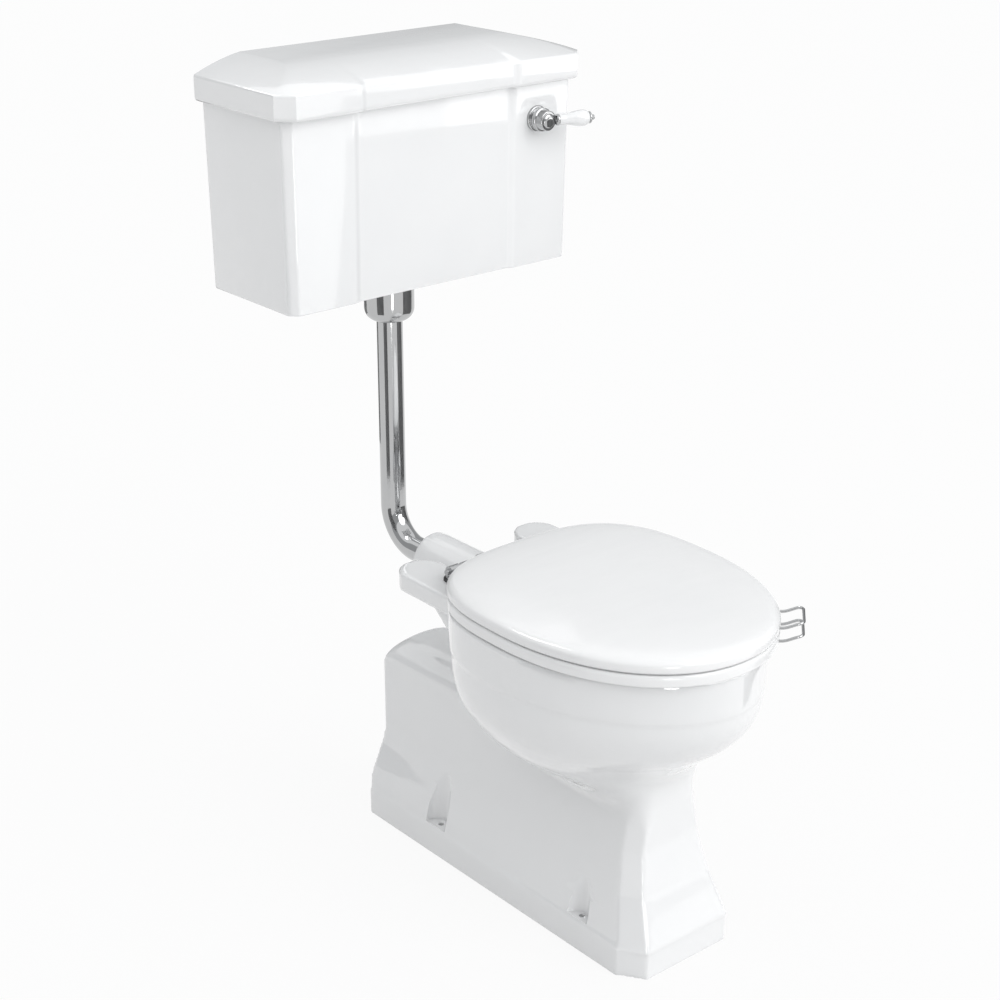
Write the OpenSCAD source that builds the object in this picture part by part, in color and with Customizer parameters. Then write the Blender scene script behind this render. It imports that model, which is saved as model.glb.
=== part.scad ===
// Low level toilet: pan, seat, flush pipe and wall cistern with its siphon, lever and float valve.
// Millimetres, +Z up, front of the pan at -Y. The origin is the centre of the soil outlet at floor level.

/* [Pan] */
// Height of the rim above the floor
rim_z = 465; // [455:1:480]
// Widest width of the pan rim
rim_w = 378; // [372:1:382]
// Length of the seat outline, front to back
outline_len = 448; // [440:1:456]
// Distance from the soil outlet forward to the widest part of the bowl
bowl_y = 355; // [345:1:360]
// Thickness of the china walls of the bowl
bowl_wall = 14; // [11:0.5:16]
// Width of the rim from its outer edge to the opening
rim_land = 34; // [30:1:38]
// Width of the plinth
plinth_w = 200; // [190:1:210]
// Length of the plinth
plinth_len = 586; // [580:1:592]
// Height of the plinth
plinth_h = 47; // [42:1:52]
// Inside diameter of the trapway
trap_d = 80; // [74:1:82]
// Height of the highest point of the trap cover
hump_top = 286; // [282:1:292]
// Distance between the front and back floor screws
screw_pitch_y = 310; // [300:2:316]
// Distance across between the floor screws
screw_pitch_x = 174; // [172:1:176]
// Diameter of the floor screw holes
floor_hole_d = 8; // [6:0.5:9]

/* [Flush pipe] */
// Distance from the soil outlet back to the wall
wall_gap = 190; // [188:1:200]
// Distance from the wall to the centre of the flush pipe
pipe_gap = 75; // [70:1:85]
// Outside diameter of the flush pipe
pipe_d = 38; // [36:0.5:40]
// Wall of the flush pipe
pipe_wall = 1.5; // [1:0.1:2.5]
// Bend radius of the flush pipe, to its centre line
pipe_bend = 57; // [52:1:64]
// Height of the pan spigot's centre line
spigot_z = 415; // [412:1:420]
// Outside diameter of the pan spigot
spigot_d = 80; // [76:1:84]

/* [Cistern] */
// Height of the underside of the cistern
cistern_z = 835; // [820:1:860]
// Height of the cistern body
cistern_h = 261; // [255:1:270]
// Width of the cistern at its underside
cistern_w = 489; // [484:1:494]
// Depth of the cistern at its underside
cistern_d = 188; // [184:1:192]
// Thickness of the cistern walls
cistern_wall = 10; // [8:0.5:11]
// Thickness of the cistern floor
cistern_floor = 12; // [10:0.5:14]
// Width of the cistern lid
lid_w = 520; // [516:1:526]
// Height of the lid's upright band
band_h = 36; // [32:1:40]
// Height of the lid's sloped crown above the band
crown_h = 22; // [18:1:25]

/* [Lever] */
// Distance of the flush lever from the middle of the cistern
lever_x = 178; // [170:1:184]
// Height of the lever's spindle above the cistern's underside
lever_up = 211; // [206:1:216]
// Diameter of the lever's spindle
spindle_d = 10; // [8:0.5:11]
// Length of the lever handle from the spindle to its tip
lever_len = 73; // [66:1:80]
// Travel of the lever handle, in degrees
lever_swing = 25; // [20:1:26]

/* [Seat] */
// Thickness of the seat ring
seat_t = 16; // [14:0.5:18]
// Thickness of the seat lid at its edge
lid_t = 17; // [15:0.5:19]
// Height of the rubber buffers
buffer_h = 3; // [2:0.5:4]
// Diameter of the two hinge rods
rod_d = 8; // [6:0.5:9]
// Distance from the soil outlet forward to the hinge rods
hinge_y = 148; // [146:1:152]
// Distance across between the hinge posts
post_pitch = 192; // [188:1:196]
// Diameter of the wire of the lifting handles
wire_d = 4; // [3:0.25:5]
// Width of the lifting handles
handle_w = 50; // [44:1:56]

/* [Hidden] */

china = [0.93, 0.94, 0.95];
chrome = [0.75, 0.77, 0.8];
white_plastic = [0.9, 0.9, 0.88];
brass = [0.72, 0.58, 0.32];
rubber = [0.16, 0.16, 0.17];

// Egg-shaped outline: half width b, reach f to the front and r to the back of its widest line at y = cy.
// The front is rounder the larger its exponent p is.
function egg(b, f, r, cy, p = 2.1, n = 48) = [for (i = [0 : n - 1])
  let (a = 360 * i / n, s = sin(a), k = s < 0 ? f : r, e = s < 0 ? p : 3,
    m = pow(pow(abs(cos(a)) / b, e) + pow(abs(s) / k, e), -1 / e))
  [m * cos(a), cy + m * s]];

// Smooth step from 0 to 1 while t goes from 0 to 1.
function ease(t) = 0.5 - 0.5 * cos(180 * min(1, max(0, t)));

// Skin over a stack of outlines, each given as [height, points], lowest first, points anticlockwise.
module loft(rings) {
  n = len(rings[0][1]);
  m = len(rings);
  pts = [for (r = rings) for (p = r[1]) [p[0], p[1], r[0]]];
  sides = [for (j = [0 : m - 2]) for (i = [0 : n - 1])
    let (a = j * n + i, b = j * n + (i + 1) % n) each [[a, a + n, b], [b, a + n, b + n]]];
  low = [[for (i = [0 : n - 1]) i]];
  high = [[for (i = [n - 1 : -1 : 0]) (m - 1) * n + i]];
  polyhedron(points = pts, faces = concat(low, sides, high), convexity = 6);
}

// Both sides of the middle plane.
module pair() {
  children();
  mirror([1, 0, 0]) children();
}

// Cylinder along +Y from y = 0.
module rod_y(r, h) {
  rotate([-90, 0, 0]) cylinder(r = r, h = h, $fn = 48);
}

// Cylinder along +X from x = 0.
module rod_x(r, h) {
  rotate([0, 90, 0]) cylinder(r = r, h = h, $fn = 48);
}

// Hexagon nut across flats f, with its bore left for the caller.
module hex(f, h) {
  cylinder(d = f / cos(30), h = h, $fn = 6);
}

// Flat ring between two radii.
module ring(r0, r1, h) {
  difference() {
    cylinder(r = r1, h = h, $fn = 64);
    translate([0, 0, -1]) cylinder(r = r0, h = h + 2, $fn = 64);
  }
}

// Shared positions worked out from the sizes above.
seat_ahead = 13;
back_semi = bowl_y - hinge_y - seat_ahead;
front_semi = outline_len - back_semi;
outline_hw = 189;
bowl_cy = -bowl_y;
plinth_back = 58;
plinth_front = plinth_back - plinth_len;
plinth_hw = plinth_w / 2;
trap_r = trap_d / 2;
pipe_y = wall_gap - pipe_gap;
back_screw_y = -101;
screw_x = screw_pitch_x / 2;
spigot_end = 22;

// Outline of the seat, and the slightly more pointed outline of the pan's rim, each drawn in by an inset.
function outline(inset) = egg(outline_hw - inset, front_semi - inset, back_semi - inset, bowl_cy);
rim_hw = rim_w / 2;
rim_front = front_semi - 7;
rim_back = back_semi - 4;
function rim(inset) = egg(rim_hw - inset, rim_front - inset, rim_back - inset, bowl_cy, 1.85);

// Outer face of the bowl at height z, from the waist up to the crease under the rim band.
waist_z = 225;
neck_z = 262;
crease_z = rim_z - 60;
function swell(z, z0, p) = pow(1 - pow(1 - max(0, (z - z0) / (crease_z - z0)), p), 1.25);
function bowl_b(z) = 44 + (rim_hw - 46) * swell(z, waist_z, 3.2);
function bowl_f(z) = 104 + (rim_front - 106) * swell(z, neck_z, 2.3);
function bowl_r(z) = 115 + (rim_back - 117) * swell(z, waist_z, 1.8);
function bowl_outside(z) = egg(bowl_b(z), bowl_f(z), bowl_r(z), bowl_cy, 1.85);
// The inner face lies a wall's thickness inside the outer one.
function bowl_inside(z) = let (y = z - bowl_wall * 0.85, w = bowl_wall * (z > 330 ? 1 : 0.75))
  egg(bowl_b(y) - w, bowl_f(y) - w, bowl_r(y) - w, bowl_cy, 1.85);

module bowl_outer() {
  loft(concat(
    [for (z = [waist_z, 232, 241, 252, 264, 278, 294, 312, 332, 354, 378, crease_z]) [z, bowl_outside(z)]],
    [[crease_z + 1.5, rim(1)], [crease_z + 4, rim(0)], [rim_z - 5, rim(0)], [rim_z - 1.5, rim(1.5)], [rim_z, rim(5)]]));
}

// Foot of the pan: half widths of its side and front face, and the front face's place, at height z.
foot_z = 253.4;
function foot_t(z) = max(0, 1 - (z - plinth_h) / (foot_z - 2 - plinth_h));
function side_front(z) = 58 + (plinth_hw - 61) * pow(foot_t(z), 1.6);
function side_back(z) = 68 + (plinth_hw - 69) * (1 - ease((z - plinth_h) / 103));
function face_hw(z) = 42 + (plinth_hw - 67) * pow(foot_t(z), 1.45);
break_z = 107;
straight_z = 170;
function face_y(z) = plinth_front + 38 - (z > straight_z ? 0
  : z > break_z ? 14 * (straight_z - z) / (straight_z - break_z)
  : 14 + 24 * (break_z - z) / (break_z - plinth_h));
function foot_ring(z) = let (c = 22 + 13 * pow(foot_t(z), 1.5), y = face_y(z), s = side_front(z),
  f = face_hw(z), b = side_back(z), m = b * 0.35 + s * 0.65)
  [[-b, plinth_back], [-m, -150], [-s, y + c], [-f, y], [f, y], [s, y + c], [m, -150], [b, plinth_back]];

module foot() {
  loft([for (z = [plinth_h, 56, 66, 76, 86, 96, break_z, 118, 130, 142, 155, straight_z, 190, 215, 240, foot_z])
    [z, foot_ring(z)]]);
  // neck that runs on up into the bowl
  translate([0, 0, foot_z - 8]) linear_extrude(neck_z + 38 - foot_z)
    polygon([for (p = foot_ring(foot_z - 8)) if (abs(p[0]) < 58.5) [p[0] * 0.98, p[1] + 1], [56, -250], [-56, -250]]);
}

module plinth() {
  linear_extrude(plinth_h) polygon([[-plinth_hw, plinth_back], [-plinth_hw, plinth_front + 36],
    [25 - plinth_hw, plinth_front], [plinth_hw - 25, plinth_front], [plinth_hw, plinth_front + 36],
    [plinth_hw, plinth_back]]);
}

// Rounded cover over the trap, with its back edge eased, running forward into the bowl.
function hump_hw(d) = 67.7 - d / 32;
function hump_ring(d, k) = concat([[hump_hw(d), foot_z - 20.3]], [for (i = [0 : 16]) let (a = 180 * i / 16)
  [hump_hw(d) * cos(a), foot_z - 2 + (hump_top - foot_z + 2) * k * pow(sin(a), 0.75)]], [[-hump_hw(d), foot_z - 20.3]]);
module hump() {
  translate([0, plinth_back - 0.1, 0]) rotate([90, 0, 0])
    loft([for (s = [[0, 0.5], [2, 0.68], [6, 0.82], [12, 0.92], [20, 0.97], [44, 1], [208, 1], [290, 1]]) [s[0], hump_ring(s[0], s[1])]]);
}

// Ears that carry the seat hinge, flush with the rim, and the round spigot between them.
ear_t = 28;
ear_y = 56 - hinge_y;
module ears() {
  pair() translate([0, 0, rim_z - ear_t]) {
    translate([post_pitch / 2 + 10, ear_y, 0]) cylinder(r = 34, h = ear_t, $fn = 64);
    translate([post_pitch / 2 - 24, -205, 0]) cube([68, 205 + ear_y, ear_t]);
    // gusset under the ear, back to the side of the bowl
    translate([post_pitch / 2 - 20, -205, -38]) rotate([90, 0, 90])
      linear_extrude(50) polygon([[0, 0], [34, 4], [62, 26], [80, 40], [0, 40]]);
  }
}

// Way of the trap: up a slope from the sump, over the weir and straight down to the outlet.
trap_bend = 58;
trap_z = hump_top - 115;
slope = 32;
turn = 90 + slope;
elbow_y = trap_bend * (cos(turn) - 1);
elbow_z = trap_z + trap_bend * sin(turn);
sump_y = -315;
sump_run = (elbow_y - sump_y) / cos(slope);
sump_z = elbow_z - sump_run * sin(slope);

module trapway() {
  translate([0, 0, -1]) cylinder(r = trap_r, h = trap_z + 1, $fn = 64);
  translate([0, -trap_bend, trap_z]) rotate([90, 0, 90])
    rotate_extrude(angle = turn, $fn = 64) translate([trap_bend, 0]) circle(r = trap_r, $fn = 64);
  // the rising leg is a little wider than the bend
  translate([0, elbow_y, elbow_z]) rotate([turn, 0, 0]) translate([0, 0, -0.5])
    cylinder(r = trap_r + 1, h = sump_run + 0.5, $fn = 64);
}

// Inside of the bowl with the well under it, the opening and the open flushing channel round the rim.
curtain_z = rim_z - 46;
curtain_t = 8;
module bowl_inner() {
  loft(concat(
    [[sump_z - 40, egg(14, 14, 18, sump_y)], [sump_z - 34, egg(25, 25, 29, sump_y)], [sump_z - 20, egg(35, 35, 38, sump_y)],
      [sump_z, egg(38.5, 39, 40, sump_y)], [130, egg(41, 50, 44, -322)], [180, egg(43, 78, 60, -335)],
     [waist_z, egg(46, 96, 78, -345)]],
    [for (z = [neck_z, 274, 290, 308, 330, 354, 378, 400]) [z, bowl_inside(z)]],
    [[curtain_z + 0.7, rim(bowl_wall)]]));
  translate([0, 0, curtain_z - 1]) linear_extrude(rim_z + 2 - curtain_z) polygon(rim(rim_land));
  difference() {
    loft([for (z = [curtain_z - 0.4, rim_z - 12]) [z, rim(bowl_wall + 0.6)]]);
    loft([for (z = [curtain_z - 1, rim_z - 11]) [z, rim(rim_land - curtain_t)]]);
  }
}

// Open underside of the foot, in front of and behind the sump.
module foot_hollows() {
  translate([-44, 0, 0]) rotate([90, 0, 90]) linear_extrude(88)
    polygon([[-508, -1], [-508, 47], [-486, 107], [-474, 165], [-440, 165], [-385, 110], [-372, 60], [-372, -1]]);
  translate([-54, 0, 0]) rotate([90, 0, 90]) linear_extrude(108)
    polygon([[-58, -1], [-58, 132], [-95, 146], [-250, 56], [-250, -1]]);
}

// Round-backed niche over each floor screw, down to a flat ledge.
module niches() {
  pair() {
    translate([95.5, back_screw_y, plinth_h + 1]) cylinder(r = 22, h = 140, $fn = 64);
    translate([101, back_screw_y - screw_pitch_y, plinth_h + 1]) cylinder(r = 21, h = 140, $fn = 64);
    for (y = [back_screw_y, back_screw_y - screw_pitch_y])
      translate([screw_x, y, -1]) cylinder(d = floor_hole_d, h = plinth_h + 3, $fn = 48);
  }
}

module pan_body() {
  plinth();
  foot();
  hump();
  bowl_outer();
  ears();
  translate([0, spigot_end - 4, spigot_z]) rotate([90, 0, 0]) cylinder(d = spigot_d, h = 226, $fn = 96);
  translate([0, spigot_end, spigot_z]) rotate([90, 0, 0]) cylinder(d1 = spigot_d - 6, d2 = spigot_d, h = 4, $fn = 96);
}

module pan() {
  color(china) difference() {
    pan_body();
    bowl_inner();
    trapway();
    foot_hollows();
    niches();
    // flush inlet: the spigot's bore and the slot on into the rim channel
    translate([0, spigot_end + 1, spigot_z]) rotate([90, 0, 0]) cylinder(r = inlet_r, h = inlet_run, $fn = 64);
    translate([-22, -186, curtain_z + 3]) cube([44, 44, 22]);
    pair() {
      translate([post_pitch / 2, -hinge_y, rim_z - ear_t - 1]) cylinder(r = 6.5, h = ear_t + 2, $fn = 48);
      // room for the nut under the ear
      translate([post_pitch / 2, -hinge_y, rim_z - ear_t - 50]) cylinder(r = 15, h = 50, $fn = 48);
    }
  }
}
inlet_r = 28;
inlet_run = 173;

// Chromed flush pipe, its rubber cone in the spigot and its cup nut under the cistern.
fit = 0.05;
pipe_r = pipe_d / 2;
pipe_top = cistern_z - 14;
tail_r = 24;
tail_len = 48;
nut_len = 75;

module pipe_way(r) {
  translate([0, pipe_y, spigot_z + pipe_bend]) cylinder(r = r, h = pipe_top - spigot_z - pipe_bend, $fn = 64);
  translate([0, pipe_y - pipe_bend, spigot_z + pipe_bend]) rotate([90, 0, 90]) rotate([0, 0, -90])
    rotate_extrude(angle = 90, $fn = 64) translate([pipe_bend, 0]) circle(r = r, $fn = 64);
  translate([0, spigot_end - 46, spigot_z]) rod_y(r, pipe_y - pipe_bend - spigot_end + 46);
}

module flush_pipe() {
  color(chrome) difference() {
    pipe_way(pipe_r);
    pipe_way(pipe_r - pipe_wall);
    translate([0, pipe_y, pipe_top - 1]) cylinder(r = pipe_r - pipe_wall, h = 2, $fn = 64);
    translate([0, spigot_end - 47, spigot_z]) rod_y(pipe_r - pipe_wall, 2);
  }
}

module flush_cone() {
  color(rubber) translate([0, spigot_end - 3, spigot_z]) rotate([90, 0, 0]) rotate_extrude($fn = 64)
    polygon([[pipe_r + fit, 0], [inlet_r - fit, 0], [inlet_r - fit, 26], [pipe_r + 2, 36], [pipe_r + fit, 36]]);
}

// Cup nut: its skirt hides the backnut, and its foot draws the pipe and the olive up against the tail.
module pipe_nut() {
  r = 36.5;
  c = nut_len - 22;
  color(chrome) translate([0, pipe_y, cistern_z - nut_len]) rotate_extrude($fn = 96)
    polygon([[pipe_r + fit, 0], [r - 16, 0], [r - 9, 2], [r - 4, 6], [r - 1, 12], [r, 18], [r, nut_len - 5],
      [r - 1, nut_len - 1], [r - 2, nut_len - fit * 2], [33.5, nut_len - fit * 2], [33.5, c], [tail_r + fit, c], [tail_r + fit, 13],
      [pipe_r + fit, 13]]);
}

module pipe_olive() {
  color(rubber) translate([0, pipe_y, cistern_z - nut_len + 13]) difference() {
    cylinder(r = tail_r - 0.2, h = nut_len - 13 - tail_len, $fn = 64);
    translate([0, 0, -1]) cylinder(r = pipe_r + fit, h = 30, $fn = 64);
  }
}

// Cistern: walls that lean out a little, chamfered front corners and a shallow panel between two outer ones.
cistern_top = cistern_z + cistern_h;
lean_w = 8;
lean_d = 5;
panel_x = 134;
panel_in = 4;
floor_z = cistern_z + cistern_floor;
function front_y(z) = wall_gap - cistern_d - lean_d * (z - cistern_z) / cistern_h;

// Half of one panel step: points that ease from the outer panel back by the given depth.
function step_pts(x, y, depth) = [for (i = [0 : 4]) [x + 3.75 * (i - 2), y + depth * ease(i / 4)]];
function case_outline(hw, y0, c, x, depth) = let (s = step_pts(-x, y0, depth))
  concat([[-hw, wall_gap], [-hw, y0 + c], [c - hw, y0]], s,
    [for (i = [4 : -1 : 0]) [-s[i][0], s[i][1]]], [[hw - c, y0], [hw, y0 + c], [hw, wall_gap]]);

module cistern_body() {
  w = cistern_w / 2;
  loft([[cistern_z, case_outline(w - 3, front_y(cistern_z) + 3, 11, panel_x, panel_in)],
    [cistern_z + 3, case_outline(w, front_y(cistern_z), 12, panel_x, panel_in)],
    [cistern_top, case_outline(w + lean_w / 2, front_y(cistern_top), 12.6, panel_x, panel_in)]]);
}

function inner_outline(z, cut) = let (w = cistern_w / 2 + lean_w / 2 * (z - cistern_z) / cistern_h - cistern_wall - cut,
  y0 = front_y(z) + cistern_wall + panel_in + cut, b = wall_gap - cistern_wall - cut)
  [[-w, b], [-w, y0 + 10], [10 - w, y0], [w - 10, y0], [w, y0 + 10], [w, b]];

// Holes through the cistern: outlet, inlet, lever and two wall screws.
valve_inset = 54.5;
valve_x = valve_inset - cistern_w / 2;
lever_z = cistern_z + lever_up;
spot_y = front_y(lever_z) + 0.6;
inlet_hole_r = 11.5;
lever_hole_r = 8.5;
wall_screw_x = 150;
wall_screw_z = cistern_top - 36;

module cistern() {
  color(china) difference() {
    cistern_body();
    loft([[floor_z, inner_outline(floor_z, 6)], [floor_z + 10, inner_outline(floor_z, 0)],
      [cistern_top + 1, inner_outline(cistern_top + 1, 0)]]);
    translate([0, pipe_y, cistern_z - 1]) cylinder(r = tail_r + 1, h = cistern_floor + 2, $fn = 64);
    translate([valve_x, pipe_y, cistern_z - 1]) cylinder(r = inlet_hole_r, h = cistern_floor + 2, $fn = 64);
    translate([lever_x, spot_y - 5, lever_z]) rod_y(lever_hole_r, 30);
    translate([lever_x, spot_y - 5, lever_z]) rod_y(18.6, 5);
    translate([lever_x, spot_y + cistern_wall - 0.6, lever_z]) rod_y(16, 8);
    pair() translate([wall_screw_x, wall_gap - cistern_wall - 4, wall_screw_z]) rod_y(4, cistern_wall + 8);
  }
}

// Lid: an upright band, then a crown that coves up from the ends and swells up from the front to a flat top.
lid_front = front_y(cistern_top) - 15;
crown_end = 73;
crown_front = 103;
function crown_ring(k) = let (e = crown_end * pow(k, 1 / 2.2), f = crown_front * (1 - pow(1 - k, 1 / 1.8)))
  case_outline(lid_w / 2 - 1 - e, lid_front + 1 + f, 20 * (1 - k) + 0.6, panel_x - 3 - 5 * k, 4 * (1 - k) + 0.05);

module cistern_lid() {
  z0 = cistern_top;
  z1 = z0 + band_h;
  w = lid_w / 2;
  color(china) {
    difference() {
      loft(concat([for (s = [[0, 6], [1, 3], [3, 1], [6, 0], [band_h - 4, 0]])
          [z0 + s[0], case_outline(w - s[1], lid_front + s[1], 20.6, panel_x - 3, 4)]],
        [for (i = [0 : 8]) [z1 + crown_h * i / 8, crown_ring(i / 8)]]));
      loft([[z0 - 1, inner_outline(cistern_top, 8)], [z1 - 12, inner_outline(cistern_top, 8)], [z1 + 2, inner_outline(cistern_top, 48)]]);
    }
    // rib that keeps the lid from sliding
    difference() {
      loft([for (z = [z0 - 9, z0 + 2]) [z, inner_outline(cistern_top, 2)]]);
      loft([for (z = [z0 - 10, z0 + 3]) [z, inner_outline(cistern_top, 8)]]);
    }
  }
}

// Siphon: a bell with a lifting plate in it, a crown over the top and a straight leg down to the outlet.
bell_x = 76;
riser_x = 52;
lift_x = 92;
bell_r = 42;
bell_z = floor_z + 10;
bell_h = 86;
leg_r = 20;
tube_t = 2.5;
crown_z = bell_z + bell_h + 26;
rod_r = 3;
plate_z = bell_z + 6;
link_gap = 0.3;

// Water's way through the siphon, as solid tubes of radius r.
module siphon_way(r) {
  translate([0, pipe_y, pipe_top + 1]) cylinder(r = r, h = crown_z - pipe_top - 1, $fn = 64);
  translate([riser_x / 2, pipe_y, crown_z]) rotate([90, 0, 0])
    rotate_extrude(angle = 180, $fn = 64) translate([riser_x / 2, 0]) circle(r = r, $fn = 64);
  translate([riser_x, pipe_y, bell_z + bell_h - 6]) cylinder(r = r, h = crown_z - bell_z - bell_h + 6, $fn = 64);
}

module siphon() {
  color(white_plastic) difference() {
    union() {
      translate([0, pipe_y, cistern_z - tail_len]) cylinder(r = tail_r, h = cistern_floor + tail_len + 4, $fn = 96);
      translate([0, pipe_y, floor_z + 3]) cylinder(r = 33, h = 5, $fn = 96);
      translate([0, pipe_y, floor_z + 7]) cylinder(r = leg_r + tube_t, h = crown_z - floor_z - 7, $fn = 64);
      translate([riser_x / 2, pipe_y, crown_z]) rotate([90, 0, 0])
        rotate_extrude(angle = 180, $fn = 64) translate([riser_x / 2, 0]) circle(r = leg_r + tube_t, $fn = 64);
      translate([riser_x, pipe_y, bell_z + bell_h]) cylinder(r = leg_r + tube_t, h = crown_z - bell_z - bell_h, $fn = 64);
      translate([bell_x, pipe_y, bell_z]) cylinder(r = bell_r, h = bell_h + 3, $fn = 96);
      // foot and web that hold the bell to the leg
      translate([leg_r, pipe_y - 2, bell_z + 20]) cube([16, 4, bell_h - 30]);
      translate([bell_x + 16, pipe_y, bell_z + bell_h]) cylinder(r = rod_r + 4, h = 16, $fn = 48);
    }
    siphon_way(leg_r);
    translate([0, pipe_y, cistern_z - tail_len - 1]) cylinder(r = pipe_r + fit, h = pipe_top + 3 - cistern_z + tail_len, $fn = 64);
    translate([bell_x, pipe_y, bell_z - 1]) cylinder(r = bell_r - tube_t, h = bell_h + 1, $fn = 96);
    translate([lift_x, pipe_y, bell_z + bell_h - 1]) cylinder(r = rod_r + fit, h = 20, $fn = 48);
  }
}

module siphon_plate() {
  color(white_plastic) translate([0, pipe_y, plate_z]) difference() {
    union() {
      translate([bell_x, 0, 0]) cylinder(r = bell_r - tube_t - 1, h = 4, $fn = 96);
      translate([lift_x, 0, 0]) cylinder(r = 7, h = 12, $fn = 48);
    }
    for (a = [60 : 60 : 300]) translate([bell_x, 0, -1]) rotate([0, 0, a]) translate([24, 0, 0]) cylinder(r = 7, h = 6, $fn = 48);
    translate([lift_x, 0, -1]) cylinder(r = rod_r + fit / 2, h = 14, $fn = 48);
  }
}

arm_w = 10;
arm_t = 4;
arm_y = pipe_y - 18;
link_slot = 20;
link_bar_z = lever_z + arm_w / 2 + link_gap;
module siphon_lift() {
  color(brass) translate([lift_x, pipe_y, plate_z + 1]) cylinder(r = rod_r, h = link_bar_z - link_slot - plate_z - 1, $fn = 48);
}

// Stirrup at the head of the lift rod; the lever's inner arm runs through it and lifts its top bar.
module lift_link() {
  t = 6;
  y0 = arm_y - 3;
  color(brass) difference() {
    union() {
      translate([lift_x - t / 2, y0 - 4, link_bar_z - link_slot - 8]) cube([t, pipe_y - y0 + 4, link_slot + 13]);
      translate([lift_x - 5, pipe_y - 5, link_bar_z - link_slot - 8]) cube([10, 10, link_slot + 13]);
    }
    translate([lift_x - t, y0, link_bar_z - link_slot]) cube([t * 2, pipe_y - 5 - y0, link_slot]);
    translate([lift_x, pipe_y, link_bar_z - link_slot - 9]) cylinder(r = rod_r + fit / 2, h = 9, $fn = 48);
  }
}

module tail_washer() {
  color(rubber) {
    translate([0, pipe_y, cistern_z - 3]) ring(tail_r + fit, 32, 3);
    translate([0, pipe_y, floor_z]) ring(tail_r + fit, 33, 3);
  }
}

module tail_backnut() {
  color(white_plastic) translate([0, pipe_y, cistern_z - 15]) difference() {
    hex(56, 12);
    translate([0, 0, -1]) cylinder(r = tail_r + fit, h = 14, $fn = 64);
  }
}

// Flush lever: a bush through the front wall, a turning spindle with its boss, the inner arm and the handle.
spindle_r = spindle_d / 2;
bush_out = 13;
handle_turn = 20;
boss_y = spot_y - bush_out - 0.3;
wall_in_y = spot_y + cistern_wall - 0.6;
handle_y = boss_y - 7.5;

module at_lever(y) {
  translate([lever_x, y, lever_z]) rotate([-90, 0, 0]) children();
}

module lever_bush() {
  color(chrome) at_lever(spot_y) difference() {
    union() {
      translate([0, 0, -4]) cylinder(r = 18, h = 4, $fn = 96);
      translate([0, 0, -9]) cylinder(r = 15, h = 6, $fn = 96);
      translate([0, 0, -bush_out]) cylinder(r = 16.5, h = 5, $fn = 96);
      translate([0, 0, -1]) cylinder(r = 8, h = 27, $fn = 64);
    }
    translate([0, 0, -bush_out - 1]) cylinder(r = spindle_r + fit, h = 45, $fn = 64);
  }
}

module lever_washer() {
  color(rubber) at_lever(wall_in_y) ring(8 + fit, 14, 2);
}

module lever_backnut() {
  color(white_plastic) at_lever(wall_in_y + 2) difference() {
    hex(24, 7);
    translate([0, 0, -1]) cylinder(r = 8 + fit, h = 9, $fn = 64);
  }
}

module lever_spindle() {
  color(chrome) at_lever(boss_y) union() {
    cylinder(r = spindle_r, h = arm_y + arm_t + 2 - boss_y, $fn = 64);
    // turned boss and cap in front of the bush
    translate([0, 0, -16]) rotate_extrude($fn = 96)
      polygon([[0, 0], [5, 0], [8, 0.8], [10, 2], [10, 3], [14, 3.2], [14, 14], [16.5, 14.6], [16.5, 16], [0, 16]]);
  }
}

module lever_arm() {
  len = lever_x - lift_x + 16;
  color(brass) difference() {
    union() {
      translate([lever_x - len, arm_y, lever_z - arm_w / 2]) cube([len, arm_t, arm_w]);
      at_lever(arm_y - 6) cylinder(r = 9, h = arm_t + 6, $fn = 64);
    }
    at_lever(arm_y - 8) cylinder(r = spindle_r + fit / 2, h = 14, $fn = 64);
  }
}

// Handle pieces are turned shapes on one line that starts at the spindle and leans forward.
module at_handle(d) {
  translate([lever_x, handle_y, lever_z]) rotate([0, 0, -handle_turn]) translate([d, 0, 0]) rotate([0, 90, 0]) children();
}
grip_start = 19;
grip_end = lever_len - 9;

module lever_handle() {
  color(chrome) difference() {
    at_handle(0) rotate_extrude($fn = 64) polygon([[0, 6], [5.5, 6], [5, 12], [6.5, 14], [8, 16], [8, grip_start - 0.1],
      [2, grip_start - 0.1], [2, grip_end + 2], [0, grip_end + 2]]);
    at_lever(boss_y - 17) cylinder(r = 14 + fit, h = 18, $fn = 96);
  }
}

module lever_grip() {
  n = grip_end - grip_start;
  color(china) at_handle(grip_start) rotate_extrude($fn = 64) polygon(concat([[2 + fit / 2, 0]],
    [for (i = [0 : 10]) let (t = i / 10) [7 + 4.5 * ease(t * 1.25) - 3.5 * pow(max(0, t - 0.8) * 5, 2), n * t]], [[2 + fit / 2, n]]));
}

module lever_finial() {
  color(chrome) at_handle(grip_end + 0.1) difference() {
    rotate_extrude($fn = 64) polygon([[0, 0], [8.5, 0], [8.5, 2.5], [4, 4], [3, 5], [3.8, 6.5], [3, 8.2], [0, 8.9]]);
    translate([0, 0, -1]) cylinder(r = 2 + fit / 2, h = 3.2, $fn = 48);
  }
}

// Float valve: a shank through the floor, a riser and a head whose plunger the float arm works.
shank_r = 10.4;
shank_out = 22;
shank_free = 10;
head_z = lever_z - 20;
pivot_up = 12;
pivot_dx = 12;
pivot_x = valve_x + pivot_dx;
pivot_z = head_z + pivot_up;
plunger_r = 3;
pin_r = 2.5;
float_inset = 73;
arm_reach = -float_inset - pivot_x;
float_r = 34;
float_h = 62;
float_t = 5;

module at_valve(z) {
  translate([valve_x, pipe_y, z]) children();
}

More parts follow.
